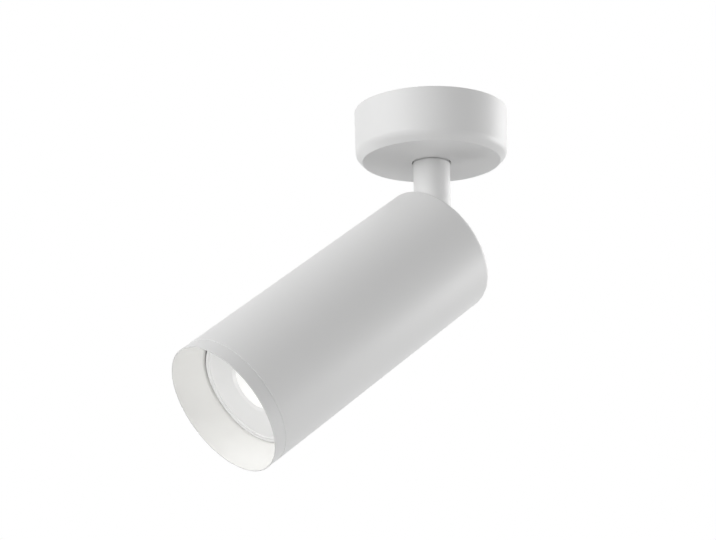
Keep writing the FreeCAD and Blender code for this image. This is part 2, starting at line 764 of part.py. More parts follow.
def pan_stack():
    """Stop washer, spring washer and nut on the neck."""
    washer = new_body("stop_washer_body")
    ring = new_sketch(washer, "stop_ring", "XY_Plane", washer_level)
    draw_circle(ring, "0", "0", "stop_washer_radius")
    draw_circle(ring, "0", "0", "neck_radius + thread_gap")
    pad(washer, ring, "stop_washer_sheet")
    tab = new_sketch(washer, "stop_tab", "XY_Plane", washer_level)
    draw_rectangle(tab, ("-stop_half_width", "stop_half_width"),
                   ("-stop_washer_radius - stop_overlap", "-neck_radius - overrun"))
    pad(washer, tab, "stop_washer_sheet")
    node(washer, "stop_washer")
    spring = turned("spring_turned", [
        ("neck_radius + thread_gap", f"{spring_level} + spring_rise"),
        ("spring_radius", spring_level),
        ("spring_radius", f"{spring_level} + spring_sheet"),
        ("neck_radius + thread_gap", nut_level),
    ])
    node(spring, "spring_washer")
    blank = document.addObject("Part::Prism", "nut_prism")
    blank.Polygon = 6
    bind(blank, Circumradius="nut_across / sqrt(3)", Height="nut_height")
    move(blank, z=nut_level)
    nut_top = "nut_across / sqrt(3) - nut_chamfer"
    slope = cone("nut_cone", f"{nut_top} + 2 * nut_height", nut_top, "nut_height", z=nut_level)
    bore = rod("nut_bore", "neck_radius + thread_gap", "nut_height + 2 * overrun", z=f"{nut_level} - overrun")
    node(cut("nut_piece", common("nut_chamfered", blank, slope), bore), "stem_nut")


def stem_grommet():
    """Bush that guards the sleeve at the top of the stem."""
    flange_radius = "neck_radius - nut_chamfer"
    body = turned("grommet_turned", [
        ("fibre_radius + thread_gap", f"{neck_level} - grommet_depth"),
        ("stem_bore - bond_gap", f"{neck_level} - grommet_depth"),
        ("stem_bore - bond_gap", neck_level),
        (flange_radius, neck_level),
        (flange_radius, grommet_level),
        ("fibre_radius + thread_gap", grommet_level),
    ])
    dress(body, "Fillet", "grommet_round", "grommet_flange / 2", rim(flange_radius, grommet_level))
    return node(body, "stem_grommet")


def fibre_tube(name, low, high):
    """Length of fibre sleeve between two levels."""
    return turned(name, [
        ("fibre_radius - fibre_wall", low),
        ("fibre_radius", low),
        ("fibre_radius", high),
        ("fibre_radius - fibre_wall", high),
    ])


def stem_leads():
    """Sleeve and leads inside the stem, from the grommet to just above the pivot."""
    low = "hinge_lead_gap - pivot_drop"
    high = f"{grommet_level} + fibre_stub"
    node(fibre_tube("stem_fibre", low, high), "stem_sleeve")
    leads = []
    for place in range(3):
        x, y = lead_spot(place)
        leads.append(rod(f"stem_lead_{place + 1}", "lead_radius", f"{high} + lead_stub - ({low})", x, y, low))
    node(group("stem_lead_set", leads), "stem_leads")


def knuckle():
    """Fork on a spigot in the stem's lower end, with two threaded cheeks."""
    spigot = rod("fork_spigot", "stem_bore - bond_gap", "shoulder + spigot_length", z=shoulder_level)
    disc = rod("fork_disc", "stem_radius", "shoulder", z=shoulder_level)
    pieces = [spigot, disc]
    for side, name in ((1, "left"), (-1, "right")):
        low = "fork_half_gap" if side > 0 else "-fork_half_gap - cheek"
        high = "fork_half_gap + cheek" if side > 0 else "-fork_half_gap"
        pieces.append(rod(f"fork_eye_{name}", "eye_radius", "cheek", y=low, along="y"))
        pieces.append(box(f"fork_cheek_{name}", ("-eye_radius", "eye_radius"), (low, high),
                          ("0", f"{shoulder_level} + shoulder / 2")))
    bore = rod("fork_bore_tool", "fork_bore", "shoulder + spigot_length + 2 * overrun",
               z=f"{shoulder_level} - overrun")
    thread = rod("fork_thread", "pivot_screw_radius + thread_gap", "2 * (fork_half_gap + cheek + overrun)",
                 y="-fork_half_gap - cheek - overrun", along="y")
    return node(cut("fork_piece", fuse("fork_blank", *pieces), bore, thread), "knuckle", "pivot")


def hinge_hardware():
    """Friction washers between fork and yoke, and the two pivot screws."""
    washers = []
    screws = []
    for side, name in ((1, "left"), (-1, "right")):
        start = "(fork_half_gap + cheek)"
        low = start if side > 0 else f"-{start} - friction_washer"
        washers.append(cut(f"friction_ring_{name}",
                           rod(f"friction_disc_{name}", "eye_radius", "friction_washer", y=low, along="y"),
                           rod(f"friction_hole_{name}", "pivot_screw_radius + thread_gap",
                               "friction_washer + 2 * overrun", y=f"{low} - overrun", along="y")))
        head_start = f"({ear_outer} + face_gap)"
        head_low = head_start if side > 0 else f"-{head_start} - pivot_head_height"
        shank_length = f"({head_start} - fork_half_gap + pivot_head_height / 2)"
        shank_low = "fork_half_gap" if side > 0 else f"-fork_half_gap - {shank_length}"
        head = rod(f"pivot_head_{name}", "pivot_head_radius", "pivot_head_height", y=head_low, along="y")
        shank = rod(f"pivot_shank_{name}", "pivot_screw_radius", shank_length, y=shank_low, along="y")
        key = document.addObject("Part::Prism", f"pivot_key_{name}")
        key.Polygon = 6
        key.Placement = FreeCAD.Placement(FreeCAD.Vector(), along_y)
        bind(key, Circumradius="pivot_key_radius", Height="pivot_key_depth + overrun")
        move(key, y=f"{head_start} + pivot_head_height - pivot_key_depth" if side > 0
             else f"-{head_start} - pivot_head_height - overrun")
        screws.append(cut(f"pivot_screw_{name}", fuse(f"pivot_blank_{name}", head, shank), key))
    node(group("friction_pair", washers), "friction_washers", "pivot")
    node(group("pivot_pair", screws), "pivot_screws", "pivot")


def housing():
    """Deep cylinder, open at the front, with a slot for the stem in its rear wall."""
    inner = "(head_radius - head_wall)"
    rear_inner = "(rear_reach - head_wall)"
    body = turned("housing_turned", [
        ("0", "rear_reach"),
        ("head_radius", "rear_reach"),
        ("head_radius", f"{seam_level} + seam_gap"),
        (inner, f"{seam_level} + seam_gap"),
        (inner, rear_inner),
        ("0", rear_inner),
    ])
    dress(body, "Fillet", "rear_round", "rear_rounding", rim("head_radius", "rear_reach"))
    dress(body, "Fillet", "rear_inner_round", "rear_rounding - head_wall", rim(inner, rear_inner))
    dress(body, "Chamfer", "housing_seam", "seam_chamfer", rim("head_radius", f"{seam_level} + seam_gap"))
    bosses = new_sketch(body, "housing_bosses", "XY_Plane", "-yoke_drop")
    for side in (1, -1):
        draw_circle(bosses, "0", f"{side} * boss_offset", "boss_radius")
    pad(body, bosses, "yoke_drop + rear_reach - head_wall / 2")
    threads = new_sketch(body, "boss_threads", "XY_Plane", "-yoke_drop + yoke_screw_grip + overrun")
    for side in (1, -1):
        draw_circle(threads, "0", f"{side} * boss_offset", "yoke_screw_radius + thread_gap")
    pocket(body, threads, "yoke_screw_grip + 2 * overrun")
    slot = new_sketch(body, "stem_slot", "XY_Plane", "rear_reach + overrun")
    draw_rectangle(slot, (slot_centre, "0"), (f"-{slot_radius}", slot_radius))
    pocket(body, slot, "head_wall + 2 * overrun")
    for end, place in (("middle", "0"), ("side", slot_centre)):
        rounded = new_sketch(body, f"stem_slot_{end}", "XY_Plane", "rear_reach + overrun")
        draw_circle(rounded, place, "0", slot_radius)
        pocket(body, rounded, "head_wall + 2 * overrun")
    return node(body, "housing", "head")


def tilt_yoke():
    """Casting on the bosses with two ears that straddle the fork."""
    half_length = "(boss_offset + boss_radius)"
    body = new_body("yoke_body")
    plate = new_sketch(body, "yoke_plate_sketch", "XY_Plane", yoke_foot)
    draw_rectangle(plate, ("-yoke_half_width", "yoke_half_width"), (f"-{half_length}", half_length))
    pad(body, plate, "yoke_plate")
    dress(body, "Fillet", "yoke_corners", "yoke_rounding", upright_edge)
    ears = new_sketch(body, "yoke_ears", "XY_Plane", yoke_foot)
    for side in (1, -1):
        draw_rectangle(ears, ("-eye_radius", "eye_radius"),
                       (f"{side} * {ear_inner}", f"{side} * {ear_outer}"))
    pad(body, ears, f"-{yoke_foot}")
    holes = new_sketch(body, "yoke_holes", "XY_Plane")
    draw_circle(holes, "0", "0", "yoke_hole")
    for side in (1, -1):
        draw_circle(holes, "0", f"{side} * boss_offset", "yoke_screw_radius + running_gap")
    pocket(body, holes, f"-{yoke_foot} + overrun")
    eyes = [rod(f"yoke_eye_{name}", "eye_radius", "ear", y=low, along="y")
            for name, low in (("left", ear_inner), ("right", f"-{ear_outer}"))]
    bore = rod("yoke_pivot_bore", "pivot_screw_radius + running_gap", f"2 * ({ear_outer} + overrun)",
               y=f"-{ear_outer} - overrun", along="y")
    return node(cut("yoke_piece", fuse("yoke_blank", body, *eyes), bore), "tilt_yoke", "head")


def yoke_screws():
    """Two screws through bracket and yoke into the bosses."""
    screws = []
    for side, name in ((1, "left"), (-1, "right")):
        y = f"{side} * boss_offset"
        head_level = f"{bracket_foot} - yoke_head_height"
        head = rod(f"yoke_head_{name}", "yoke_head_radius", "yoke_head_height", y=y, z=head_level)
        shank = rod(f"yoke_shank_{name}", "yoke_screw_radius",
                    f"yoke_head_height - {bracket_foot} - yoke_drop + yoke_screw_grip", y=y, z=head_level)
        slot = box(f"yoke_slot_{name}", ("-yoke_head_radius - overrun", "yoke_head_radius + overrun"),
                   (f"{y} - screw_slot_width / 2", f"{y} + screw_slot_width / 2"),
                   (f"{head_level} - overrun", f"{head_level} + screw_slot_depth"))
        screws.append(cut(f"yoke_screw_{name}", fuse(f"yoke_screw_blank_{name}", head, shank), slot))
    return node(group("yoke_screw_pair", screws), "yoke_screws", "head")


def holder_bracket():
    """Folded steel bracket that carries the lampholder in the middle of the housing."""
    leg_outer = "(leg_offset + bracket_sheet)"
    width = ("-bracket_half_width", "bracket_half_width")
    body = new_body("bracket_body")
    legs = new_sketch(body, "bracket_legs", "XY_Plane", holder_back)
    for side in (1, -1):
        draw_rectangle(legs, width, (f"{side} * leg_offset", f"{side} * {leg_outer}"))
    bar = new_sketch(body, "bracket_bar", "XY_Plane", holder_back)
    draw_rectangle(bar, width, (f"-{leg_outer}", leg_outer))
    pad(body, bar, "bracket_sheet")
    pad(body, legs, f"{yoke_foot} - {holder_back}")
    feet = new_sketch(body, "bracket_feet", "XY_Plane", bracket_foot)
    for side in (1, -1):
        draw_rectangle(feet, width, (f"{side} * ({leg_outer} - foot_length)", f"{side} * {leg_outer}"))
    pad(body, feet, "bracket_sheet")
    dress(body, "Fillet", "bracket_bends", "bend_radius", lambda edge: isinstance(edge.Curve, Part.Line)
          and abs(edge.Curve.Direction.x) > straight_share
          and abs(abs(edge.CenterOfMass.y) - value(leg_outer)) < near)
    foot_holes = new_sketch(body, "bracket_foot_holes", "XY_Plane", f"{yoke_foot} + overrun")
    for side in (1, -1):
        draw_circle(foot_holes, "0", f"{side} * boss_offset", "yoke_screw_radius + running_gap")
    pocket(body, foot_holes, "bracket_sheet + 2 * overrun")
    bar_holes = new_sketch(body, "bracket_bar_holes", "XY_Plane", f"{bar_level} + overrun")
    for side in (1, -1):
        draw_circle(bar_holes, "0", f"{side} * pin_spread", "lead_radius + lead_hole_gap")
        draw_circle(bar_holes, "0", f"{side} * holder_screw_offset", "holder_screw_radius + running_gap")
    draw_circle(bar_holes, "0", "tag_offset", "tag_screw_radius + thread_gap")
    pocket(body, bar_holes, "bracket_sheet + 2 * overrun")
    return node(body, "holder_bracket", "head")


def sector(name, radius, start, sweep, low, length):
    """Slice of a cylinder about the Z axis from one angle over another."""
    thing = document.addObject("Part::Cylinder", name)
    thing.Placement = FreeCAD.Placement(FreeCAD.Vector(), FreeCAD.Rotation(FreeCAD.Vector(0, 0, 1), 1))
    bind(thing, Radius=radius, Height=length, Angle=sweep)
    thing.setExpression(".Placement.Rotation.Angle", bound(start))
    return move(thing, z=low)


def arc_slot(name, half_width, low, length, half_turn):
    """Room for a pin's travel round the axis, which runs on past the pin at both ends."""
    reach = f"asin(({half_width} + running_gap) / pin_spread) / 1 deg"
    outer = sector(f"{name}_outer", f"pin_spread + {half_width}", f"90 - bayonet_turn - {reach}",
                   f"bayonet_turn + 2 * {reach}", low, length)
    inner = rod(f"{name}_inner", f"pin_spread - ({half_width})", f"{length} + 2 * overrun",
                z=f"({low}) - overrun")
    thing = cut(name, outer, inner)
    thing.Placement.Rotation = FreeCAD.Rotation(FreeCAD.Vector(0, 0, 1), half_turn)
    return thing


def lampholder():
    """Ceramic holder with two arc slots that take the lamp's pins and turn them under its lip."""
    blank = fuse("holder_blank",
                 box("holder_middle", ("-holder_half_width", "holder_half_width"),
                     ("holder_half_width - holder_half_length", "holder_half_length - holder_half_width"),
                     (holder_front, holder_back)),
                 rod("holder_left", "holder_half_width", "holder_height",
                     y="holder_half_length - holder_half_width", z=holder_front),
                 rod("holder_right", "holder_half_width", "holder_height",
                     y="holder_half_width - holder_half_length", z=holder_front))
    tools = []
    chamber_low = f"({holder_front} + holder_lip)"
    for half_turn, name in ((0, "left"), (180, "right")):
        side = 1 if half_turn == 0 else -1
        tools.append(arc_slot(f"chamber_{name}", "pin_head_radius + chamber_gap", chamber_low,
                              "holder_chamber", half_turn))
        tools.append(arc_slot(f"neck_slot_{name}", "pin_radius + chamber_gap",
                              f"{holder_front} - overrun", "holder_lip + 2 * overrun", half_turn))
        tools.append(rod(f"pin_entry_{name}", "pin_head_radius + chamber_gap / 2", "holder_lip + 2 * overrun",
                         x=f"{side} * pin_spread * sin(bayonet_turn * 1 deg)",
                         y=f"{side} * pin_spread * cos(bayonet_turn * 1 deg)", z=f"{holder_front} - overrun"))
        tools.append(rod(f"lead_hole_{name}", "lead_radius + lead_hole_gap", "holder_height",
                         y=f"{side} * pin_spread", z=f"{chamber_low} + holder_chamber / 2"))
        tools.append(rod(f"holder_thread_{name}", "holder_screw_radius + thread_gap",
                         "holder_screw_grip + 2 * overrun", y=f"{side} * holder_screw_offset",
                         z=f"{holder_back} - holder_screw_grip - overrun"))
    return node(cut("holder_piece", blank, *tools), "lampholder", "head")


def holder_contacts():
    """Folded strip in each chamber, pressed by the pin's end."""
    chamber_top = f"({holder_front} + holder_lip + holder_chamber)"
    tip = f"({base_level} + pin_length + contact_gap)"
    strips = []
    for side, name in ((1, "left"), (-1, "right")):
        near = f"{side} * (pin_spread - contact_reach)"
        far = f"{side} * (pin_spread + contact_reach)"
        far_inner = f"{side} * (pin_spread + contact_reach - contact_sheet)"
        body = new_body(f"contact_{name}")
        strip = new_sketch(body, f"contact_strip_{name}", "YZ_Plane", "-contact_half_width")
        draw_outline(strip, [
            (near, f"{chamber_top} - contact_sheet"),
            (near, chamber_top),
            (far, chamber_top),
            (far, tip),
            (near, tip),
            (near, f"{tip} + contact_sheet"),
            (far_inner, f"{tip} + contact_sheet"),
            (far_inner, f"{chamber_top} - contact_sheet"),
        ])
        pad(body, strip, "2 * contact_half_width")
        strips.append(body)
    return node(group("contact_pair", strips), "holder_contacts", "head")


def plain_screw(name, radius, head_radius, head_height, length, x, y, seat):
    """Slotted screw driven down the Z axis: its head stands on a seat and its shank runs below."""
    head = rod(f"{name}_head", head_radius, head_height, x, y, seat)
    shank = rod(f"{name}_shank", radius, f"({length}) + {head_height} / 2", x, y, f"{seat} - ({length})")
    slot = box(f"{name}_slot", (f"{x} - {head_radius} - overrun", f"{x} + {head_radius} + overrun"),
               (f"{y} - screw_slot_width / 2", f"{y} + screw_slot_width / 2"),
               (f"{seat} + {head_height} - screw_slot_depth", f"{seat} + {head_height} + overrun"))
    return cut(name, fuse(f"{name}_blank", head, shank), slot)


def holder_screws():
    """Two screws through the bracket's bar into the ceramic."""
    length = "bracket_sheet + holder_screw_grip"
    pair = [plain_screw(f"holder_screw_{name}", "holder_screw_radius", "holder_head_radius",
                        "holder_head_height", length, "0", f"{side} * holder_screw_offset", bar_level)
            for side, name in ((1, "left"), (-1, "right"))]
    return node(group("holder_screw_pair", pair), "holder_screws", "head")


def head_leads():
    """Sleeve below the pivot, two leads to the contacts and the earth lead to its tag."""
    node(fibre_tube("head_fibre", "-fibre_end", "-hinge_lead_gap"), "head_sleeve", "head")
    contact_level = f"{holder_front} + holder_lip + holder_chamber + face_gap"
    leads = []
    for place, side, name in ((0, 1, "left"), (2, -1, "right")):
        x, y = lead_spot(place)
        leads.append(lead(f"head_lead_{name}", [
            (x, y, "-hinge_lead_gap"),
            (x, y, "-fan_start"),
            ("0", f"{side} * pin_spread", "-fan_end"),
            ("0", f"{side} * pin_spread", contact_level),
        ]))
    node(group("head_lead_pair", leads), "head_leads", "head")
    x, y = lead_spot(1)
    barrel_level = f"{bar_level} + tag_barrel"
    barrel_end = "-tag_radius - tag_barrel_length"
    wire = lead("earth_lead_run", [
        (x, y, "-hinge_lead_gap"),
        (x, y, "-fan_start"),
        ("-earth_loop / 2", "tag_offset / 10", "-(fan_start + fan_end) / 2"),
        ("-earth_loop", "tag_offset * 2 / 3", "-fan_end"),
        ("-earth_loop * 4 / 5", "tag_offset", barrel_level),
        (f"{barrel_end} + tag_barrel_length / 2", "tag_offset", barrel_level),
    ])
    node(group("earth_lead_piece", [wire]), "earth_lead", "head")
    plate = rod("tag_plate", "tag_radius", "tag_sheet", y="tag_offset", z=bar_level)
    neck = box("tag_neck", ("-tag_radius - tag_barrel", "0"),
               ("tag_offset - tag_barrel", "tag_offset + tag_barrel"),
               (bar_level, f"{bar_level} + tag_sheet"))
    barrel = rod("tag_barrel_tube", "tag_barrel", "tag_barrel_length", x=barrel_end, y="tag_offset",
                 z=barrel_level, along="x")
    tools = [rod("tag_hole", "tag_screw_radius + running_gap", "tag_sheet + 2 * overrun", y="tag_offset",
                 z=f"{bar_level} - overrun"),
             rod("tag_bore", "lead_radius + bond_gap", "tag_barrel_length + overrun",
                 x=f"{barrel_end} - overrun", y="tag_offset", z=barrel_level, along="x")]
    node(cut("tag_piece", fuse("tag_blank", plate, neck, barrel), *tools), "earth_tag", "head")
    screw = plain_screw("tag_screw_piece", "tag_screw_radius", "tag_head_radius", "tag_head_height",
                        "tag_sheet + tag_screw_length", "0", "tag_offset", f"({bar_level} + tag_sheet)")
    node(screw, "tag_screw", "head")


def trim_ring():
    """Threaded front ring: a band flush with the housing, a cone and a throat inside, and a seal groove."""
    lip = "(head_radius - lip_wall)"
    cone_end = f"({front_level} + ring_depth)"
    tail = f"({cone_end} + throat_depth)"
    groove = f"({seam_level} + seal_inset)"
    groove_half = "(seal_section + groove_gap)"
    groove_floor = "(head_radius - head_wall - 2 * seal_section - 2 * groove_gap)"
    body = turned("ring_turned", [
        (lip, front_level),
        ("head_radius", front_level),
        ("head_radius", seam_level),
        (spigot_radius, seam_level),
        (spigot_radius, f"{groove} - {groove_half}"),
        (groove_floor, f"{groove} - {groove_half}"),
        (groove_floor, f"{groove} + {groove_half}"),
        (spigot_radius, f"{groove} + {groove_half}"),
        (spigot_radius, tail),
        ("throat_radius", tail),
        ("throat_radius", cone_end),
    ])
    dress(body, "Fillet", "lip_round", "lip_rounding", lambda edge: rim("head_radius", front_level)(edge)
          or rim(lip, front_level)(edge))
    dress(body, "Chamfer", "ring_seam", "seam_chamfer", rim("head_radius", seam_level))
    node(body, "trim_ring", "head")
    seal = document.addObject("Part::Torus", "seal_torus")
    bind(seal, Radius1=f"{groove_floor} + groove_gap + seal_section", Radius2="seal_section")
    move(seal, z=groove)
    node(group("seal_piece", [seal]), "ring_seal", "head")


def lamp():
    """Reflector lamp of 50 mm with a twist-lock base: cap, pins, shell, boards, cover and lens."""
    cover_back = f"({face_level} + cover_depth)"
    bowl_outer = "(lamp_radius - shell_inset)"
    bowl_inner = f"({bowl_outer} - shell_wall)"
    dish_level = f"({face_level} + cover_step + dish_depth)"
    eye_level = f"({dish_level} + eye_depth)"
    ledge = f"({eye_level} + lens_sheet + shell_bowl)"
    funnel_end = f"({ledge} + shell_taper)"
    ledge_inner = f"({bowl_inner} - ledge_width)"
    throat = "(cap_radius + shell_wall)"
    floor_radius = "(cap_radius - cap_wall)"
    shell = turned("lamp_shell_turned", [
        (bowl_inner, f"{face_level} + cover_sheet"),
        (bowl_outer, f"{face_level} + cover_sheet"),
        (bowl_outer, ledge),
        (throat, funnel_end),
        ("cap_radius + bond_gap", funnel_end),
        ("cap_radius + bond_gap", f"{funnel_end} - cap_lap"),
        (floor_radius, f"{funnel_end} - cap_lap"),
        (ledge_inner, f"{ledge} + shell_wall"),
        (ledge_inner, ledge),
        (bowl_inner, ledge),
    ])
    node(shell, "lamp_shell", "head")
    cap = turned("lamp_cap_turned", [
        (floor_radius, f"{funnel_end} - cap_lap + bond_gap"),
        ("cap_radius", f"{funnel_end} - cap_lap + bond_gap"),
        ("cap_radius", base_level),
        ("0", base_level),
        ("0", f"{base_level} - cap_floor"),
        (floor_radius, f"{base_level} - cap_floor"),
    ])
    dress(cap, "Fillet", "cap_round", "cap_wall / 2", rim("cap_radius", base_level))
    holes = new_sketch(cap, "pin_holes", "XY_Plane", f"{base_level} + overrun")
    for side in (1, -1):
        draw_circle(holes, "0", f"{side} * pin_spread", "pin_radius + bond_gap")
    pocket(cap, holes, "cap_floor + 2 * overrun")
    node(cap, "lamp_cap", "head")
    pins = []
    for side, name in ((1, "left"), (-1, "right")):
        y = f"{side} * pin_spread"
        neck = rod(f"pin_neck_{name}", "pin_radius", "pin_length + cap_floor + pin_root", y=y,
                   z=f"{base_level} - cap_floor - pin_root")
        head = rod(f"pin_tip_{name}", "pin_head_radius", "pin_head_height", y=y,
                   z=f"{base_level} + pin_length - pin_head_height")
        pins.append(fuse(f"pin_{name}", neck, head))
    node(group("pin_pair", pins), "lamp_pins", "head")
    board = turned("led_board_turned", [
        ("pin_spread", f"{ledge} - board_sheet"),
        (f"{bowl_inner} - bond_gap", f"{ledge} - board_sheet"),
        (f"{bowl_inner} - bond_gap", f"{ledge} - face_gap"),
        ("pin_spread", f"{ledge} - face_gap"),
    ])
    node(board, "led_board", "head")
    driver_low = f"({base_level} - cap_floor - driver_length - pin_root)"
    driver = box("driver_blank", ("pin_radius + driver_sheet", "pin_radius + 2 * driver_sheet"),
                 (f"-{floor_radius} * {board_share}", f"{floor_radius} * {board_share}"),
                 (driver_low, f"{base_level} - cap_floor - face_gap"))
    node(group("driver_piece", [driver]), "driver_board", "head")
    cover = turned("cover_turned", [
        ("lamp_radius", f"{face_level} + cover_sheet - face_gap"),
        (f"{bowl_inner} - bond_gap", f"{face_level} + cover_sheet - face_gap"),
        (f"{bowl_inner} - bond_gap", cover_back),
        (f"{bowl_inner} - cover_sheet", cover_back),
        (f"{bowl_inner} - cover_sheet", f"{face_level} + cover_step + cover_sheet"),
        ("eye_outer_radius + cover_sheet", f"{dish_level} + cover_sheet"),
        ("eye_inner_radius + cover_sheet", f"{eye_level} + lens_sheet"),
        ("eye_inner_radius + lens_lap", f"{eye_level} + lens_sheet"),
        ("eye_inner_radius + lens_lap", eye_level),
        ("eye_inner_radius", eye_level),
        ("eye_outer_radius - eye_bead", f"{dish_level} - eye_bead"),
        ("eye_outer_radius", dish_level),
        ("lamp_radius - cover_rim", f"{face_level} + cover_step"),
        ("lamp_radius - cover_rim + cover_step", face_level),
        ("lamp_radius - cover_step", face_level),
        ("lamp_radius", f"{face_level} + cover_step"),
    ])
    node(cover, "lamp_cover", "head")
    lens = turned("lens_turned", [
        ("0", f"{eye_level} + face_gap"),
        ("eye_inner_radius + lens_lap - bond_gap", f"{eye_level} + face_gap"),
        ("eye_inner_radius + lens_lap - bond_gap", f"{eye_level} + lens_sheet"),
        ("0", f"{eye_level} + lens_sheet"),
    ])
    node(lens, "lamp_lens", "head")


def export():
    """Check every object and write each sub-part."""
    document.recompute()
    for thing in document.Objects:
        if {"Invalid", "Error"} & set(thing.State):
            raise ValueError(f"{thing.Name} is {thing.State}")
    os.makedirs("parts", exist_ok=True)
    for thing in nodes:
        shape = thing.Shape
        if shape.isNull() or not shape.isValid() or not shape.Solids:
            raise ValueError(f"{thing.Label} has no valid solid")
        print(thing.Label, len(shape.Solids), round(shape.Volume, 1))
    for thing in nodes:
        thing.Shape.exportStep(f"parts/{thing.Label}.step")


ceiling_strap()
canopy()
canopy_screws()
earth_point()
terminals()
supply_leads()
pan_bush()
stem()
pan_stack()
stem_grommet()
stem_leads()
knuckle()
hinge_hardware()
housing()
tilt_yoke()
yoke_screws()
holder_bracket()
lampholder()
holder_contacts()
holder_screws()
head_leads()
lamp()
trim_ring()
export()
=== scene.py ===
import json
import math

import bmesh
import bpy
from mathutils import Matrix, Vector


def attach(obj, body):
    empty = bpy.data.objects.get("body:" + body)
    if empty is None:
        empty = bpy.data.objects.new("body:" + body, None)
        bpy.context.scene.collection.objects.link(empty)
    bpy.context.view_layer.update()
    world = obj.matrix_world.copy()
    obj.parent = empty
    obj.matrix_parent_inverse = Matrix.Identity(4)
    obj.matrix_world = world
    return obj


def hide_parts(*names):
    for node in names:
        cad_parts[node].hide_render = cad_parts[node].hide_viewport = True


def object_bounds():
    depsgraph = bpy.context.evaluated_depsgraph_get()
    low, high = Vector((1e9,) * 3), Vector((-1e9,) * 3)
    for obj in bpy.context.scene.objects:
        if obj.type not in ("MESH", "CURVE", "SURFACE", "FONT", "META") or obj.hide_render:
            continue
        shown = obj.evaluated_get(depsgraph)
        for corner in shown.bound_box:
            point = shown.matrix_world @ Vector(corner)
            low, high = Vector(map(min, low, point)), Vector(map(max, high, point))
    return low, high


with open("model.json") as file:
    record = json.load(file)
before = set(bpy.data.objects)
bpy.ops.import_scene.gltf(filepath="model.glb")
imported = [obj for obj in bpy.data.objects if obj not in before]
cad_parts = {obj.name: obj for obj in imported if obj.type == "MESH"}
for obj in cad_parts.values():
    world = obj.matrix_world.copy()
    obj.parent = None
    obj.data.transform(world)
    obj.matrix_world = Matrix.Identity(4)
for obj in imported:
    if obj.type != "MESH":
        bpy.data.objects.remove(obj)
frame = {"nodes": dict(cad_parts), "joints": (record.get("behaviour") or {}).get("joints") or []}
cad_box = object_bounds()
bpy.ops.object.select_all(action="DESELECT")


# Camera. It stands low, to the left of where the head points, and looks slightly up, so that the canopy's
# underside and the mouth of the head both show. The long lens keeps the sides of the head nearly parallel.
camera_distance = 0.82494
camera_side = math.radians(-124.78)
camera_level = math.radians(-19.42)
camera_heading = math.radians(-32.28)
camera_tilt = math.radians(104.41)
camera_roll = math.radians(-0.48)
camera_data = bpy.data.cameras.new("camera")
camera_data.sensor_width = 36
camera_data.lens = 89.79
camera_data.clip_start = 0.05
camera_data.clip_end = 50
camera = bpy.data.objects.new("camera", camera_data)
bpy.context.scene.collection.objects.link(camera)
camera_place = camera_distance * Vector((math.cos(camera_side) * math.cos(camera_level),
                                         math.sin(camera_side) * math.cos(camera_level),
                                         math.sin(camera_level)))
camera.matrix_world = (Matrix.Translation(camera_place) @ Matrix.Rotation(camera_heading, 4, "Z")
                       @ Matrix.Rotation(camera_tilt, 4, "X") @ Matrix.Rotation(camera_roll, 4, "Z"))
bpy.context.scene.camera = camera


# Studio: a pale floor far below the fixture, a plain white surround, and large soft lamps. Every finish is made of
# shader nodes: a Finish is one material, and a Signal is a socket that takes part in sums, so that an expression on
# masks and patterns adds its own Math nodes.
class Signal:
    """Output socket that takes part in sums and products."""

    def __init__(self, finish, socket):
        self.finish = finish
        self.socket = socket

    def math(self, operation, *terms):
        return self.finish.add("ShaderNodeMath", {"operation": operation}, dict(enumerate(terms)))

    def __add__(self, other):
        return self.math("ADD", self, other)

    def __radd__(self, other):
        return self.math("ADD", other, self)

    def __rsub__(self, other):
        return self.math("SUBTRACT", other, self)

    def __mul__(self, other):
        return self.math("MULTIPLY", self, other)


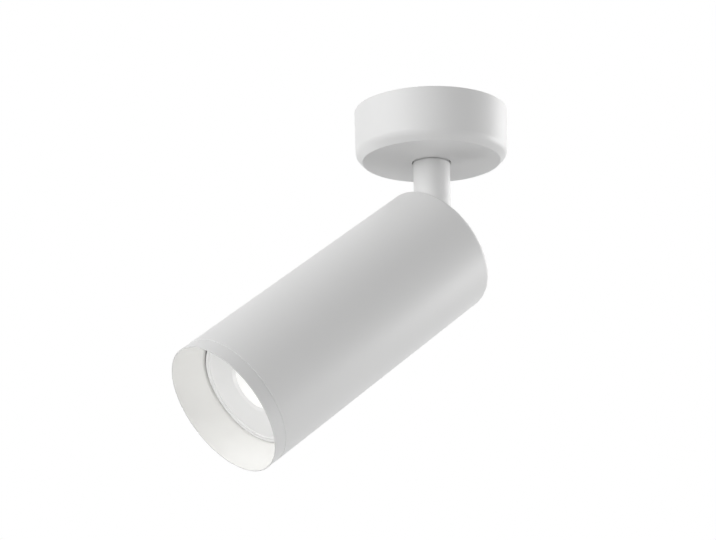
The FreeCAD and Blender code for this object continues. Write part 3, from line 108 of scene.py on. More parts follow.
class Finish:
    """A material whose nodes are made one at a time."""

    def __init__(self, name):
        self.material = bpy.data.materials.new(name)
        self.material.use_nodes = True
        self.tree = self.material.node_tree
        self.shader = self.tree.nodes["Principled BSDF"]

    def add(self, kind, settings=None, inputs=None, output=0):
        """A node of a type: its settings first, then the values or links of its sockets."""
        node = self.tree.nodes.new(kind)
        for name, setting in (settings or {}).items():
            if name == "stops":
                node.color_ramp.elements[0].position, node.color_ramp.elements[0].color = setting[0]
                node.color_ramp.elements[1].position, node.color_ramp.elements[1].color = setting[-1]
                for position, colour in setting[1:-1]:
                    node.color_ramp.elements.new(position).color = colour
            else:
                setattr(node, name, setting)
        for socket, content in (inputs or {}).items():
            self.feed(node.inputs[socket], content)
        return Signal(self, node.outputs[output])

    def feed(self, socket, content):
        """Link a signal to a socket, or set the socket's own value."""
        if isinstance(content, Signal):
            self.tree.links.new(content.socket, socket)
        else:
            socket.default_value = content

    def scaled(self, vector, factors):
        """Coordinates stretched by a factor along each axis."""
        return self.add("ShaderNodeVectorMath", {"operation": "MULTIPLY"}, {0: vector, 1: factors})

    def parts(self, vector):
        """The three coordinates of a vector."""
        split = self.add("ShaderNodeSeparateXYZ", inputs={0: vector})
        return [Signal(self, socket) for socket in split.socket.node.outputs]

    def surface(self, **sockets):
        """Feed the Principled shader: base_color is its socket Base Color, and so on."""
        for name, content in sockets.items():
            self.feed(self.shader.inputs[name.replace("_", " ").title().replace("Ior", "IOR")], content)
        return self.material

    def place(self, turn=(0, 0, 0), centre=(0, 0, 0)):
        """Object coordinates, turned and centred on a piece."""
        coordinates = self.add("ShaderNodeTexCoord", output=3)
        return self.add("ShaderNodeMapping", {"vector_type": "TEXTURE"},
                        {"Vector": coordinates, "Rotation": turn, "Location": centre})

    def noise(self, vector, scale, detail=2.0, roughness=0.5):
        """Soft random pattern from 0 to 1."""
        return self.add("ShaderNodeTexNoise", inputs={"Vector": vector, "Scale": scale, "Detail": detail,
                                                      "Roughness": roughness})

    def blend(self, mask, first, second):
        """Colour between two, by a mask."""
        return self.add("ShaderNodeMix", {"data_type": "RGBA"}, {0: mask, 6: first, 7: second}, output=2)

    def bump(self, height, distance, strength=1.0):
        """Relief from a height of 0 to 1 that stands so many metres high."""
        return self.add("ShaderNodeBump", inputs={"Height": height, "Distance": distance, "Strength": strength})


def dress(material, *pieces):
    """Give a material to pieces or CAD nodes."""
    for piece in pieces:
        thing = frame["nodes"][piece] if isinstance(piece, str) else piece
        thing.data.materials.clear()
        thing.data.materials.append(material)


floor_level = -1.3
floor_size = 14
floor_spot_scale = 3.0
floor_glow_share = 0.6
bpy.ops.mesh.primitive_plane_add(size=floor_size, location=(0, 0, floor_level))
floor = bpy.context.object
floor.name = "floor"
floor_paint = Finish("floor_paint")
floor_spots = floor_paint.noise(floor_paint.place(), floor_spot_scale)
dress(floor_paint.surface(base_color=floor_paint.blend(floor_spots, (0.80, 0.80, 0.80, 1), (0.84, 0.84, 0.84, 1)),
                          roughness=0.8), floor)
floor_tree = floor_paint.tree
floor_glow = floor_tree.nodes.new("ShaderNodeEmission")
floor_glow.inputs["Color"].default_value = (0.9, 0.9, 0.9, 1)
floor_view = floor_tree.nodes.new("ShaderNodeMixShader")
floor_tree.links.new((floor_paint.add("ShaderNodeLightPath") * floor_glow_share).socket, floor_view.inputs[0])
floor_tree.links.new(floor_paint.shader.outputs[0], floor_view.inputs[1])
floor_tree.links.new(floor_glow.outputs[0], floor_view.inputs[2])
floor_tree.links.new(floor_view.outputs[0], floor_tree.nodes["Material Output"].inputs["Surface"])

world = bpy.data.worlds.new("surround")
bpy.context.scene.world = world
world.use_nodes = True
surround = world.node_tree
background = surround.nodes["Background"]
ambient_strength = 0.3
background.inputs["Color"].default_value = (1, 1, 1, 1)
background.inputs["Strength"].default_value = ambient_strength
backdrop = surround.nodes.new("ShaderNodeBackground")
backdrop.inputs["Color"].default_value = (1, 1, 1, 1)
backdrop.inputs["Strength"].default_value = 1
rays = surround.nodes.new("ShaderNodeLightPath")
seen = rays.outputs["Is Camera Ray"]
for ray in ("Is Glossy Ray", "Is Transmission Ray"):
    either = surround.nodes.new("ShaderNodeMath")
    either.operation = "MAXIMUM"
    surround.links.new(seen, either.inputs[0])
    surround.links.new(rays.outputs[ray], either.inputs[1])
    seen = either.outputs[0]
choice = surround.nodes.new("ShaderNodeMixShader")
surround.links.new(seen, choice.inputs[0])
surround.links.new(background.outputs[0], choice.inputs[1])
surround.links.new(backdrop.outputs[0], choice.inputs[2])
surround.links.new(choice.outputs[0], surround.nodes["World Output"].inputs["Surface"])


lamp_distance = 1.1


def softbox(name, side, level, size, power):
    """Square lamp on a compass side and level round the fixture, facing it."""
    lamp_data = bpy.data.lights.new(name, "AREA")
    lamp_data.size = size
    lamp_data.energy = power
    lamp = bpy.data.objects.new(name, lamp_data)
    bpy.context.scene.collection.objects.link(lamp)
    turn, rise = math.radians(side), math.radians(level)
    middle = (cad_box[0] + cad_box[1]) / 2
    back = Vector((math.cos(turn) * math.cos(rise), math.sin(turn) * math.cos(rise), math.sin(rise)))
    lamp.rotation_mode = "QUATERNION"
    lamp.location = middle + lamp_distance * back
    lamp.rotation_quaternion = (-back).to_track_quat("-Z", "Y")
    lamp.visible_camera = False


bpy.context.scene.view_settings.view_transform = "Standard"
softbox("left_lamp", side=210, level=0, size=0.7, power=3.4)
softbox("upper_left_lamp", side=180, level=25, size=0.7, power=3.5)
softbox("back_left_lamp", side=150, level=25, size=0.7, power=1.95)
softbox("right_lamp", side=345, level=0, size=0.5, power=5.25)
softbox("upper_right_lamp", side=0, level=25, size=0.7, power=3.2)
softbox("back_low_lamp", side=105, level=-25, size=0.35, power=1.9)
softbox("bottom_lamp", side=180, level=-75, size=0.7, power=3.65)


# Canopy: a pressed steel cup under the ceiling, 70 mm across, with a rounded shoulder round its slightly domed
# underside, a hole for the stem and a countersunk hole on each side for the screws that hold it to the strap. White
# powder coat inside and out.
canopy_radius = 35.0
canopy_drop = 24.5
canopy_wall = 1.6
shoulder_radius = 34.65
shoulder_level = -20.8
underside_radius = 31.5
underside_level = -24.05
floor_edge = 30.2
shoulder_rise = 0.4
shoulder_bevel = 1.7
inner_bevel = 1.2
floor_bevel = 0.8
foot_bevel = 0.25
rim_bevel = 0.2
stem_hole = 8.75
strap_turn = math.radians(145.2)
screw_level = -6.0
screw_seat = 34.45
screw_head = 2.8
screw_shank = 1.5
screw_sink = 1.3
screw_gap = 0.04
sink_overrun = 2
sink_depth = 4


def focus(piece):
    """Make a piece the only one that is selected, and the active one."""
    bpy.ops.object.select_all(action="DESELECT")
    piece.select_set(True)
    bpy.context.view_layer.objects.active = piece


def pick(piece, kind, chosen):
    """In edit mode, select only the vertices, edges or faces that a test picks."""
    bpy.ops.mesh.select_mode(type={"verts": "VERT", "edges": "EDGE", "faces": "FACE"}[kind])
    bpy.ops.mesh.select_all(action="DESELECT")
    shape = bmesh.from_edit_mesh(piece.data)
    for part in getattr(shape, kind):
        if chosen(part):
            part.select_set(True)
    shape.select_flush_mode()
    bmesh.update_edit_mesh(piece.data)


def lathe(name, outline, steps=160):
    """Turned piece: a point is drawn along an outline of radii and levels in mm, and the line is spun round Z.
    An outline that ends off the axis closes on its first point."""
    bpy.ops.object.select_all(action="DESELECT")
    bpy.ops.mesh.primitive_plane_add(size=0.001)
    piece = bpy.context.object
    piece.name = piece.data.name = name
    points = [(radius / 1000, level / 1000) for radius, level in outline]
    if outline[-1][0] > 0:
        points.append(points[0])
    bpy.ops.object.mode_set(mode="EDIT")
    bpy.ops.mesh.select_mode(type="VERT")
    bpy.ops.mesh.select_all(action="SELECT")
    bpy.ops.mesh.merge(type="CENTER")
    bpy.ops.transform.translate(value=(points[0][0], 0, points[0][1]))
    for (radius, level), (next_radius, next_level) in zip(points, points[1:]):
        bpy.ops.mesh.extrude_vertices_move(
            TRANSFORM_OT_translate={"value": (next_radius - radius, 0, next_level - level)})
    bpy.ops.mesh.select_all(action="SELECT")
    bpy.ops.mesh.spin(steps=steps, angle=2 * math.pi, center=(0, 0, 0), axis=(0, 0, 1))
    bpy.ops.mesh.select_all(action="SELECT")
    bpy.ops.mesh.remove_doubles(threshold=0.000002)
    bpy.ops.mesh.normals_make_consistent(inside=False)
    bpy.ops.object.mode_set(mode="OBJECT")
    return piece


def soften(piece, radius, level, width, segments=3):
    """Round the circular edge of a turned piece at a radius and a level, in mm."""
    def on_edge(edge):
        return all(abs(math.hypot(end.co.x, end.co.y) - radius / 1000) < 0.00002
                   and abs(end.co.z - level / 1000) < 0.00002 for end in edge.verts)

    focus(piece)
    bpy.ops.object.mode_set(mode="EDIT")
    pick(piece, "edges", on_edge)
    bpy.ops.mesh.bevel(offset=width / 1000, offset_type="OFFSET", segments=segments, profile=0.5, affect="EDGES")
    bpy.ops.object.mode_set(mode="OBJECT")


def cut_away(piece, *cutters):
    """Cut pieces out of another, as a punch or a mill does."""
    for cutter in cutters:
        focus(piece)
        cut = piece.modifiers.new("cut", "BOOLEAN")
        cut.operation = "DIFFERENCE"
        cut.solver = "EXACT"
        cut.object = cutter
        bpy.ops.object.modifier_apply(modifier=cut.name)
        bpy.data.objects.remove(cutter)


def settle(piece, place):
    """Put a piece in its place and leave its object at the origin."""
    focus(piece)
    piece.matrix_world = place
    bpy.ops.object.transform_apply(location=True, rotation=True, scale=True)
    return piece


def aim(direction, place):
    """Placement that turns a piece's Z axis to a direction."""
    return Matrix.Translation(place) @ direction.to_track_quat("Z", "Y").to_matrix().to_4x4()


def smooth(piece, angle=32):
    """Smooth shading with crisp edges, and flat faces that stay flat next to rounded ones."""
    focus(piece)
    bpy.ops.object.shade_smooth_by_angle(angle=math.radians(angle))
    weigh = piece.modifiers.new("weigh", "WEIGHTED_NORMAL")
    weigh.keep_sharp = True
    bpy.ops.object.modifier_apply(modifier=weigh.name)
    return piece


def fit(piece, material, slot, body, *nodes):
    """Finish a piece, let it ride on its body and let it stand for its CAD nodes. The slot is not used."""
    dress(material, piece)
    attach(piece, body)
    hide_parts(*nodes)


canopy = lathe("canopy_cup", [
    (canopy_radius, 0), (shoulder_radius, shoulder_level), (underside_radius, underside_level),
    (stem_hole, -canopy_drop), (stem_hole, canopy_wall - canopy_drop), (floor_edge, canopy_wall - canopy_drop),
    (shoulder_radius - canopy_wall, shoulder_level + shoulder_rise), (canopy_radius - canopy_wall, 0)], steps=192)
soften(canopy, shoulder_radius, shoulder_level, shoulder_bevel, 8)
soften(canopy, underside_radius, underside_level, foot_bevel, 3)
soften(canopy, shoulder_radius - canopy_wall, shoulder_level + shoulder_rise, inner_bevel, 5)
soften(canopy, floor_edge, canopy_wall - canopy_drop, floor_bevel, 3)
soften(canopy, stem_hole, -canopy_drop, foot_bevel, 3)
soften(canopy, canopy_radius, 0, rim_bevel, 2)
soften(canopy, canopy_radius - canopy_wall, 0, rim_bevel, 2)
outward = Vector((math.cos(strap_turn), math.sin(strap_turn), 0))
for way in (outward, -outward):
    sink = lathe("screw_sink", [
        (0, -sink_overrun), (screw_head + screw_gap, -sink_overrun), (screw_head + screw_gap, 0),
        (screw_shank + screw_gap, screw_sink), (screw_shank + screw_gap, sink_depth), (0, sink_depth)], steps=48)
    settle(sink, aim(-way, (way * screw_seat + Vector((0, 0, screw_level))) / 1000))
    cut_away(canopy, sink)
smooth(canopy)

coat_dark = (0.80, 0.80, 0.797, 1)
coat_light = (0.815, 0.815, 0.812, 1)
paint = Finish("white_powder_coat")
paint_place = paint.place()
peel = paint.noise(paint_place, 1100, 1.5)
drift = paint.noise(paint_place, 25, 2)
white_paint = paint.surface(
    base_color=paint.blend(drift, coat_dark, coat_light),
    roughness=0.40 + drift * 0.08,
    normal=paint.bump(peel, 0.00001, 0.6))
fit(canopy, white_paint, "white_paint", "canopy_body", "canopy")


# Canopy screws: two slotted countersunk screws, painted with the canopy, that sink just below its face. On the
# ceiling side each one bites into an ear of the strap.
screw_length = 5.5
slot_width = 0.5
slot_depth = 0.6
blade_length = 8
head_bevel = 0.12
canopy_screws = []
for name, way in (("canopy_screw_back", outward), ("canopy_screw_front", -outward)):
    screw = lathe(name, [(0, 0), (screw_head, 0), (screw_shank, screw_sink), (screw_shank, screw_length),
                         (0, screw_length)], steps=48)
    soften(screw, screw_head, 0, head_bevel, 2)
    bpy.ops.mesh.primitive_cube_add(size=1, location=(0, 0, 0))
    blade = bpy.context.object
    blade.scale = (blade_length / 1000, slot_width / 1000, 2 * slot_depth / 1000)
    cut_away(screw, blade)
    flat = Vector((0, 0, 1)).cross(way)
    turned_in = Matrix((flat, Vector((0, 0, 1)), -way)).transposed().to_4x4()
    settle(screw, Matrix.Translation((way * screw_seat + Vector((0, 0, screw_level))) / 1000) @ turned_in)
    smooth(screw)
    canopy_screws.append(screw)
for screw in canopy_screws:
    dress(white_paint, screw)
    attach(screw, "canopy_body")
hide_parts("canopy_screws")


# Ceiling strap: a galvanised steel strip across the canopy, with a hole for the cable, two for the ceiling screws,
# and an ear bent down at each end for the canopy's screws. A brass screw and a washer take the mains earth.
zinc = Finish("zinc_plate")
zinc_place = zinc.place()
spangle = zinc.noise(zinc_place, 420, 3)
roll_marks = zinc.noise(zinc.scaled(zinc_place, (90, 2400, 90)), 1, 2)
zinc_plate = zinc.surface(
    base_color=zinc.blend(spangle, (0.58, 0.60, 0.63, 1), (0.72, 0.73, 0.75, 1)),
    metallic=0.95,
    roughness=0.28 + spangle * 0.14 + roll_marks * 0.08,
    normal=zinc.bump(roll_marks, 0.000008, 0.5))
dress(zinc_plate, "ceiling_strap", "earth_washer")

brass = Finish("turned_brass")
brass_place = brass.place()
tarnish = brass.noise(brass_place, 350, 3)
tool_marks = brass.noise(brass_place, 6000, 1)
turned_brass = brass.surface(
    base_color=brass.blend(tarnish, (0.74, 0.56, 0.26, 1), (0.62, 0.45, 0.20, 1)),
    metallic=0.95,
    roughness=0.24 + tarnish * 0.16,
    normal=brass.bump(tool_marks, 0.000004, 0.5))
dress(turned_brass, "earth_screw")


# Terminal block: a moulded nylon block of three poles under the strap. Each pole is a brass sleeve with two
# screws, and one steel screw holds the block to the strap.
nylon = Finish("white_nylon")
nylon_place = nylon.place()
nylon_cloud = nylon.noise(nylon_place, 130, 2)
nylon_grain = nylon.noise(nylon_place, 2200, 2)
white_nylon = nylon.surface(
    base_color=nylon.blend(nylon_cloud, (0.80, 0.79, 0.75, 1), (0.86, 0.85, 0.82, 1)),
    roughness=0.42 + nylon_grain * 0.12,
    normal=nylon.bump(nylon_grain, 0.00001, 0.6))
dress(white_nylon, "terminal_block")
dress(turned_brass, "terminal_sleeves")

screw_steel = Finish("screw_steel")
screw_place = screw_steel.place()
dulling = screw_steel.noise(screw_place, 700, 3)
plated_steel = screw_steel.surface(
    base_color=screw_steel.blend(dulling, (0.70, 0.70, 0.71, 1), (0.56, 0.57, 0.59, 1)),
    metallic=1.0,
    roughness=0.22 + dulling * 0.18,
    normal=screw_steel.bump(dulling, 0.000006, 0.4))
dress(plated_steel, "terminal_screws", "block_screw")


# Leads: three insulated wires run from the terminal block down the stem, and on from the tilt pivot to the lamp's
# contacts and the head's earth tag. Each is a round wire with bends as large as its straight runs allow.
joints = {joint["name"]: joint for joint in frame["joints"]}
pivot = Vector(joints["tilt"]["pos_m"])
rest_tilt = math.radians(52.7)
head_place = Matrix.Translation(pivot) @ Matrix.Rotation(rest_tilt, 4, "Y")
strap_place = Matrix.Rotation(strap_turn, 4, "Z")
lead_radius = 0.75
bend_share = 0.45
bend_step = 6
wire_sides = 20


def wire(name, radius, points, place=None):
    """Round wire along points in mm, with a tangent bend at each inner point."""
    points = [Vector(point) / 1000 for point in points]
    first = (points[1] - points[0]).normalized()
    bpy.ops.object.select_all(action="DESELECT")
    bpy.ops.mesh.primitive_circle_add(vertices=wire_sides, radius=radius / 1000, location=(0, 0, 0))
    piece = bpy.context.object
    piece.name = piece.data.name = name
    settle(piece, Matrix.Translation(points[0]) @ first.to_track_quat("Z", "Y").to_matrix().to_4x4())
    bpy.ops.object.mode_set(mode="EDIT")
    bpy.ops.mesh.select_mode(type="VERT")
    bpy.ops.mesh.select_all(action="SELECT")
    start = points[0]
    for before, corner, after in zip(points, points[1:], points[2:]):
        back = (before - corner).normalized()
        ahead = (after - corner).normalized()
        turn = math.pi - back.angle(ahead)
        trim = bend_share * min((before - corner).length, (after - corner).length)
        bend_radius = trim / math.tan(turn / 2)
        entry = corner + back * trim
        axis = (-back).cross(ahead).normalized()
        centre = entry + axis.cross(-back) * bend_radius
        bpy.ops.mesh.extrude_region_move(TRANSFORM_OT_translate={"value": entry - start})
        bpy.ops.mesh.spin(steps=max(4, round(math.degrees(turn) / bend_step)), angle=-turn, center=centre, axis=axis)
        start = corner + ahead * trim
    bpy.ops.mesh.extrude_region_move(TRANSFORM_OT_translate={"value": points[-1] - start})
    bpy.ops.mesh.select_all(action="SELECT")
    bpy.ops.mesh.remove_doubles(threshold=0.000002)
    bpy.ops.mesh.select_all(action="SELECT")
    bpy.ops.mesh.fill_holes(sides=0)
    bpy.ops.mesh.select_all(action="SELECT")
    bpy.ops.mesh.normals_make_consistent(inside=False)
    bpy.ops.object.mode_set(mode="OBJECT")
    smooth(piece, 50)
    return settle(piece, place or Matrix())


insulation = {}
for colour, dark, light in (("brown", (0.13, 0.055, 0.03, 1), (0.17, 0.075, 0.045, 1)),
                            ("blue", (0.02, 0.13, 0.42, 1), (0.03, 0.17, 0.50, 1))):
    sleeve = Finish(f"{colour}_insulation")
    sleeve_cloud = sleeve.noise(sleeve.place(), 500, 2)
    insulation[colour] = sleeve.surface(base_color=sleeve.blend(sleeve_cloud, dark, light),
                                        roughness=0.34 + sleeve_cloud * 0.1,
                                        normal=sleeve.bump(sleeve_cloud, 0.00001, 0.5))
earth_sleeve = Finish("green_yellow_insulation")
earth_x, earth_y, earth_z = earth_sleeve.parts(earth_sleeve.place())
stripe = earth_sleeve.add("ShaderNodeMath", {"operation": "SINE"}, {0: (earth_x + earth_y + earth_z) * 1400})
stripe = earth_sleeve.add("ShaderNodeMath", {"operation": "GREATER_THAN"}, {0: stripe, 1: 0.0})
earth_cloud = earth_sleeve.noise(earth_sleeve.place(), 500, 2)
insulation["earth"] = earth_sleeve.surface(
    base_color=earth_sleeve.blend(stripe, (0.05, 0.30, 0.07, 1), (0.78, 0.62, 0.05, 1)),
    roughness=0.34 + earth_cloud * 0.1,
    normal=earth_sleeve.bump(earth_cloud, 0.00001, 0.5))

lead_groups = (
    ("supply_leads", "canopy_body", strap_place, (
        ("brown", [(8, 17.2, -7), (8, 10.5, -7), (0.542, -0.78, -7), (0.542, -0.78, -12.14)]),
        ("earth", [(0, 17.2, -7), (0.404, 0.86, -7), (0.404, 0.86, -12.14)]),
        ("blue", [(-8, 17.2, -7), (-8, 10.5, -7), (-0.947, -0.079, -7), (-0.947, -0.079, -12.14)]))),
    ("stem_leads", "stem_body", Matrix(), (
        ("brown", [(0, 0.95, -12.17), (0, 0.95, -63.4)]),
        ("earth", [(-0.823, -0.475, -12.17), (-0.823, -0.475, -63.4)]),
        ("blue", [(0.823, -0.475, -12.17), (0.823, -0.475, -63.4)]))),
    ("head_leads", "head_body", head_place, (
        ("brown", [(0, 0.95, -3.3), (0, 0.95, -43), (0, 5, -51), (0, 5, -61.97)]),
        ("blue", [(0.823, -0.475, -3.3), (0.823, -0.475, -43), (0, -5, -51), (0, -5, -61.97)]))),
    ("earth_lead", "head_body", head_place, (
        ("earth", [(-0.823, -0.475, -3.3), (-0.823, -0.475, -43), (-7.25, 1.88, -47), (-14.5, 12.533, -51),
                   (-11.6, 18.8, -52.5), (-5.25, 18.8, -52.5)]),)))
for group, body, place, runs in lead_groups:
    for number, (colour, points) in enumerate(runs):
        lead = wire(f"{group}_{colour}", lead_radius, points, place)
        dress(insulation[colour], lead)
        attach(lead, body)
        if number == 0:
            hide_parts(group)

tin = Finish("tinned_copper")
tin_spots = tin.noise(tin.place(), 900, 3)
tinned_copper = tin.surface(base_color=tin.blend(tin_spots, (0.74, 0.72, 0.69, 1), (0.66, 0.62, 0.57, 1)), metallic=1.0,
                            roughness=0.26 + tin_spots * 0.16, normal=tin.bump(tin_spots, 0.000008, 0.5))
dress(tinned_copper, "earth_tag")
dress(turned_brass, "tag_screw")


# Pan bearing: a dark nylon bush in the canopy's hole. Above it a toothed washer stops the turn, a wave spring and a
# thin nut hold the stem with a little friction, and a white grommet closes the stem's neck round the sleeve.
dark_bush = Finish("dark_nylon")
bush_cloud = dark_bush.noise(dark_bush.place(), 400, 2)
dress(dark_bush.surface(base_color=dark_bush.blend(bush_cloud, (0.030, 0.030, 0.031, 1), (0.045, 0.045, 0.046, 1)),
                        roughness=0.45 + bush_cloud * 0.1, normal=dark_bush.bump(bush_cloud, 0.00001, 0.5)), "pan_bush")
dress(zinc_plate, "stop_washer")
dress(plated_steel, "stem_nut")
dress(white_nylon, "stem_grommet")

spring_steel = Finish("spring_steel")
spring_marks = spring_steel.noise(spring_steel.place(), 1500, 2)
spring_finish = spring_steel.surface(
    base_color=spring_steel.blend(spring_marks, (0.42, 0.43, 0.45, 1), (0.52, 0.53, 0.55, 1)), metallic=1.0,
    roughness=0.2 + spring_marks * 0.14, normal=spring_steel.bump(spring_marks, 0.000004, 0.5))
dress(spring_finish, "spring_washer")


# Stem: an aluminium tube that turns in the canopy's bush, powder-coated white, with a narrower neck above. A fine
# groove is turned where it meets the canopy, so that a dark line parts the two.
stem_radius = 8.35
stem_bore = 5.0
line_radius = 7.5
line_foot = -24.9
line_top = -24.4
neck_radius = 7.0
neck_foot = -23.7
neck_top = -14.77
stem_foot = -59.9
line_bevel = 0.15
end_bevel = 0.3
stem = lathe("stem_tube", [
    (stem_bore, stem_foot), (stem_radius, stem_foot), (stem_radius, line_foot), (line_radius, line_foot),
    (line_radius, line_top), (stem_radius, line_top), (stem_radius, neck_foot), (neck_radius, neck_foot),
    (neck_radius, neck_top), (stem_bore, neck_top)], steps=128)
soften(stem, stem_radius, line_foot, line_bevel, 2)
soften(stem, stem_radius, stem_foot, end_bevel, 3)
soften(stem, stem_radius, neck_foot, end_bevel, 3)
soften(stem, neck_radius, neck_top, end_bevel, 2)
smooth(stem)
fit(stem, white_paint, "white_aluminium", "stem_body", "stem")


# Fibre sleeves: woven white tubes round the leads, one in the stem and one in the head. The weave is a relief of
# two sets of threads that wind in opposite directions round each sleeve's own axis.
strand_count = 12
strand_pitch = 7000
for name, turn, centre in (("stem_sleeve", (0, 0, 0), (0, 0, 0)), ("head_sleeve", (0, rest_tilt, 0), tuple(pivot))):
    braid = Finish(f"{name}_braid")
    across_x, across_y, along = braid.parts(braid.place(turn, centre))
    around = braid.add("ShaderNodeMath", {"operation": "ARCTAN2"}, {0: across_y, 1: across_x})
    strands = []
    for way in (1, -1):
        winding = around * strand_count + along * (way * strand_pitch)
        strands.append(braid.add("ShaderNodeMath", {"operation": "SINE"}, {0: winding}))
    weave = braid.add("ShaderNodeMath", {"operation": "MAXIMUM"}, {0: strands[0], 1: strands[1]}) * 0.5 + 0.5
    # The threads are white, and the low gaps between them are painted darker as painted shade.
    dress(braid.surface(base_color=braid.blend(weave, (0.60, 0.59, 0.55, 1), (0.84, 0.83, 0.79, 1)), roughness=0.75,
                        normal=braid.bump(weave, 0.0001, 0.8)), name)


# Tilt hinge: a cast fork on the stem's foot and a cast yoke in the head, with nylon washers between and two
# recessed screws as the pivot. Two more screws hold the yoke to the housing's bosses.
casting = Finish("cast_zinc")
casting_place = casting.place()
casting_skin = casting.noise(casting_place, 1300, 4, 0.6)
casting_cloud = casting.noise(casting_place, 160, 2)
cast_zinc = casting.surface(
    base_color=casting.blend(casting_cloud, (0.48, 0.49, 0.50, 1), (0.58, 0.59, 0.60, 1)), metallic=0.9,
    roughness=0.42 + casting_skin * 0.2, normal=casting.bump(casting_skin, 0.00004, 0.7))
dress(cast_zinc, "knuckle", "tilt_yoke")
dress(white_nylon, "friction_washers")
dress(plated_steel, "pivot_screws", "yoke_screws")


# Housing: a deep aluminium tube with a rounded rear edge, white inside and out. A slot runs from the middle of the
# rear wall towards the side that the head tilts to, so the stem can swing from straight behind the head to 60
# degrees. Two bosses inside the rear wall take the yoke's screws.
housing_radius = 30.0
housing_wall = 1.6
housing_rear = 3.5
rear_rounding = 2.5
seam_level = -127.3
seam_gap = 0.02
seam_edge = 0.24
slot_radius = 8.85
slot_reach = 23.26
boss_place = 20.5
boss_radius = 3.5
boss_foot = -12.0
boss_bore = 1.54
boss_thread = 6
overrun = 1
slot_cut = 5
housing_bore = housing_radius - housing_wall
rear_inner = housing_rear - housing_wall
housing = lathe("head_housing", [
    (0, housing_rear), (housing_radius, housing_rear), (housing_radius, seam_level + seam_gap),
    (housing_bore, seam_level + seam_gap), (housing_bore, rear_inner), (0, rear_inner)], steps=192)
soften(housing, housing_radius, housing_rear, rear_rounding, 10)
soften(housing, housing_bore, rear_inner, rear_rounding - housing_wall, 5)
soften(housing, housing_radius, seam_level + seam_gap, seam_edge, 2)
for side in (1, -1):
    boss_top = housing_rear - housing_wall / 2
    boss = lathe("boss", [(0, boss_foot), (boss_radius, boss_foot), (boss_radius, boss_top), (0, boss_top)], steps=48)
    settle(boss, Matrix.Translation((0, side * boss_place / 1000, 0)))
    focus(housing)
    weld = housing.modifiers.new("weld", "BOOLEAN")
    weld.operation = "UNION"
    weld.solver = "EXACT"
    weld.object = boss
    bpy.ops.object.modifier_apply(modifier=weld.name)
    bpy.data.objects.remove(boss)
    bore = lathe("boss_bore", [(0, boss_foot - overrun), (boss_bore, boss_foot - overrun),
                               (boss_bore, boss_foot + boss_thread), (0, boss_foot + boss_thread)], steps=32)
    settle(bore, Matrix.Translation((0, side * boss_place / 1000, 0)))
    cut_away(housing, bore)
slot_run = slot_reach - slot_radius
bpy.ops.mesh.primitive_cube_add(size=1, location=(0, 0, 0))
slot_middle = bpy.context.object
slot_middle.scale = (slot_run / 1000, 2 * slot_radius / 1000, slot_cut / 1000)
slot_middle.location = (-slot_run / 2000, 0, slot_cut / 2000)
slot_ends = []
for x in (0, -slot_run):
    slot_end = lathe("slot_end", [(0, -overrun), (slot_radius, -overrun), (slot_radius, slot_cut), (0, slot_cut)],
                     steps=96)
    slot_ends.append(settle(slot_end, Matrix.Translation((x / 1000, 0, 0))))
cut_away(housing, slot_middle, *slot_ends)
smooth(housing)
settle(housing, head_place)
fit(housing, white_paint, "white_aluminium", "head_body", "housing")


# Lampholder: a bent steel bracket hangs from the yoke, and an unglazed ceramic holder is screwed under its bar. In
# the holder two spring contacts wait for the lamp's pins.
dress(zinc_plate, "holder_bracket")
dress(plated_steel, "holder_screws")
dress(spring_finish, "holder_contacts")
clay = Finish("ceramic")
clay_place = clay.place()
clay_grain = clay.noise(clay_place, 1700, 3)
clay_cloud = clay.noise(clay_place, 140, 2)
dress(clay.surface(base_color=clay.blend(clay_cloud, (0.76, 0.73, 0.67, 1), (0.83, 0.81, 0.76, 1)),
                   roughness=0.48 + clay_grain * 0.2, normal=clay.bump(clay_grain, 0.00003, 0.6)), "lampholder")


# Trim ring: an aluminium ring that screws into the housing's mouth, flush with it outside, with a cone and a short
# throat inside. It tapers a little towards the seam, so the housing's edge shows as a light line. A rubber ring in a
# groove of its spigot grips the housing. The cone carries painted warm light from the lamp, a little warmer and
# lighter than the coat outside, and the narrow face of the lip is painted a darker grey.
ring_front = -133.5
cone_end = -120.1
ring_tail = -118.5
lip_radius = 29.5
throat_radius = 25.25
spigot_radius = 28.32
groove_floor = 26.8
groove_low = -123.7
groove_high = -122.1
thread_depth = 0.35
thread_step = 0.75
crest_start = 0.15
crest_end = 0.4
root_width = 0.35
lip_bevel = 0.15
cone_from, cone_to = 0.02955, 0.0294
lip_from, lip_to = -0.13336, -0.13343
# The cone's colour is painted warm light from the lamp, warmer and lighter than the plain coat.
cone_warm_light = (0.885, 0.88, 0.86, 1)
# The lip's narrow front face is painted a darker grey than the rest of the ring.
lip_face_grey = (0.62, 0.62, 0.61, 1)


def threads(foot):
    """Outline of two ridges of the ring's thread above a level."""
    ridge = ((0, crest_start), (0, crest_end), (thread_depth, thread_step),
             (thread_depth, thread_step + root_width), (0, 2 * thread_step))
    return [(spigot_radius - depth, foot + number * 2 * thread_step + rise)
            for number in range(2) for depth, rise in ridge]


ring = lathe("front_ring", [
    (lip_radius, ring_front), (housing_radius, ring_front), (housing_radius - seam_edge, seam_level),
    (spigot_radius, seam_level), *threads(seam_level), (spigot_radius, groove_low), (groove_floor, groove_low),
    (groove_floor, groove_high), (spigot_radius, groove_high), *threads(groove_high), (spigot_radius, ring_tail),
    (throat_radius, ring_tail), (throat_radius, cone_end)], steps=192)
soften(ring, housing_radius, ring_front, rim_bevel, 3)
soften(ring, lip_radius, ring_front, lip_bevel, 3)
soften(ring, throat_radius, cone_end, lip_bevel, 2)
smooth(ring)
settle(ring, head_place)

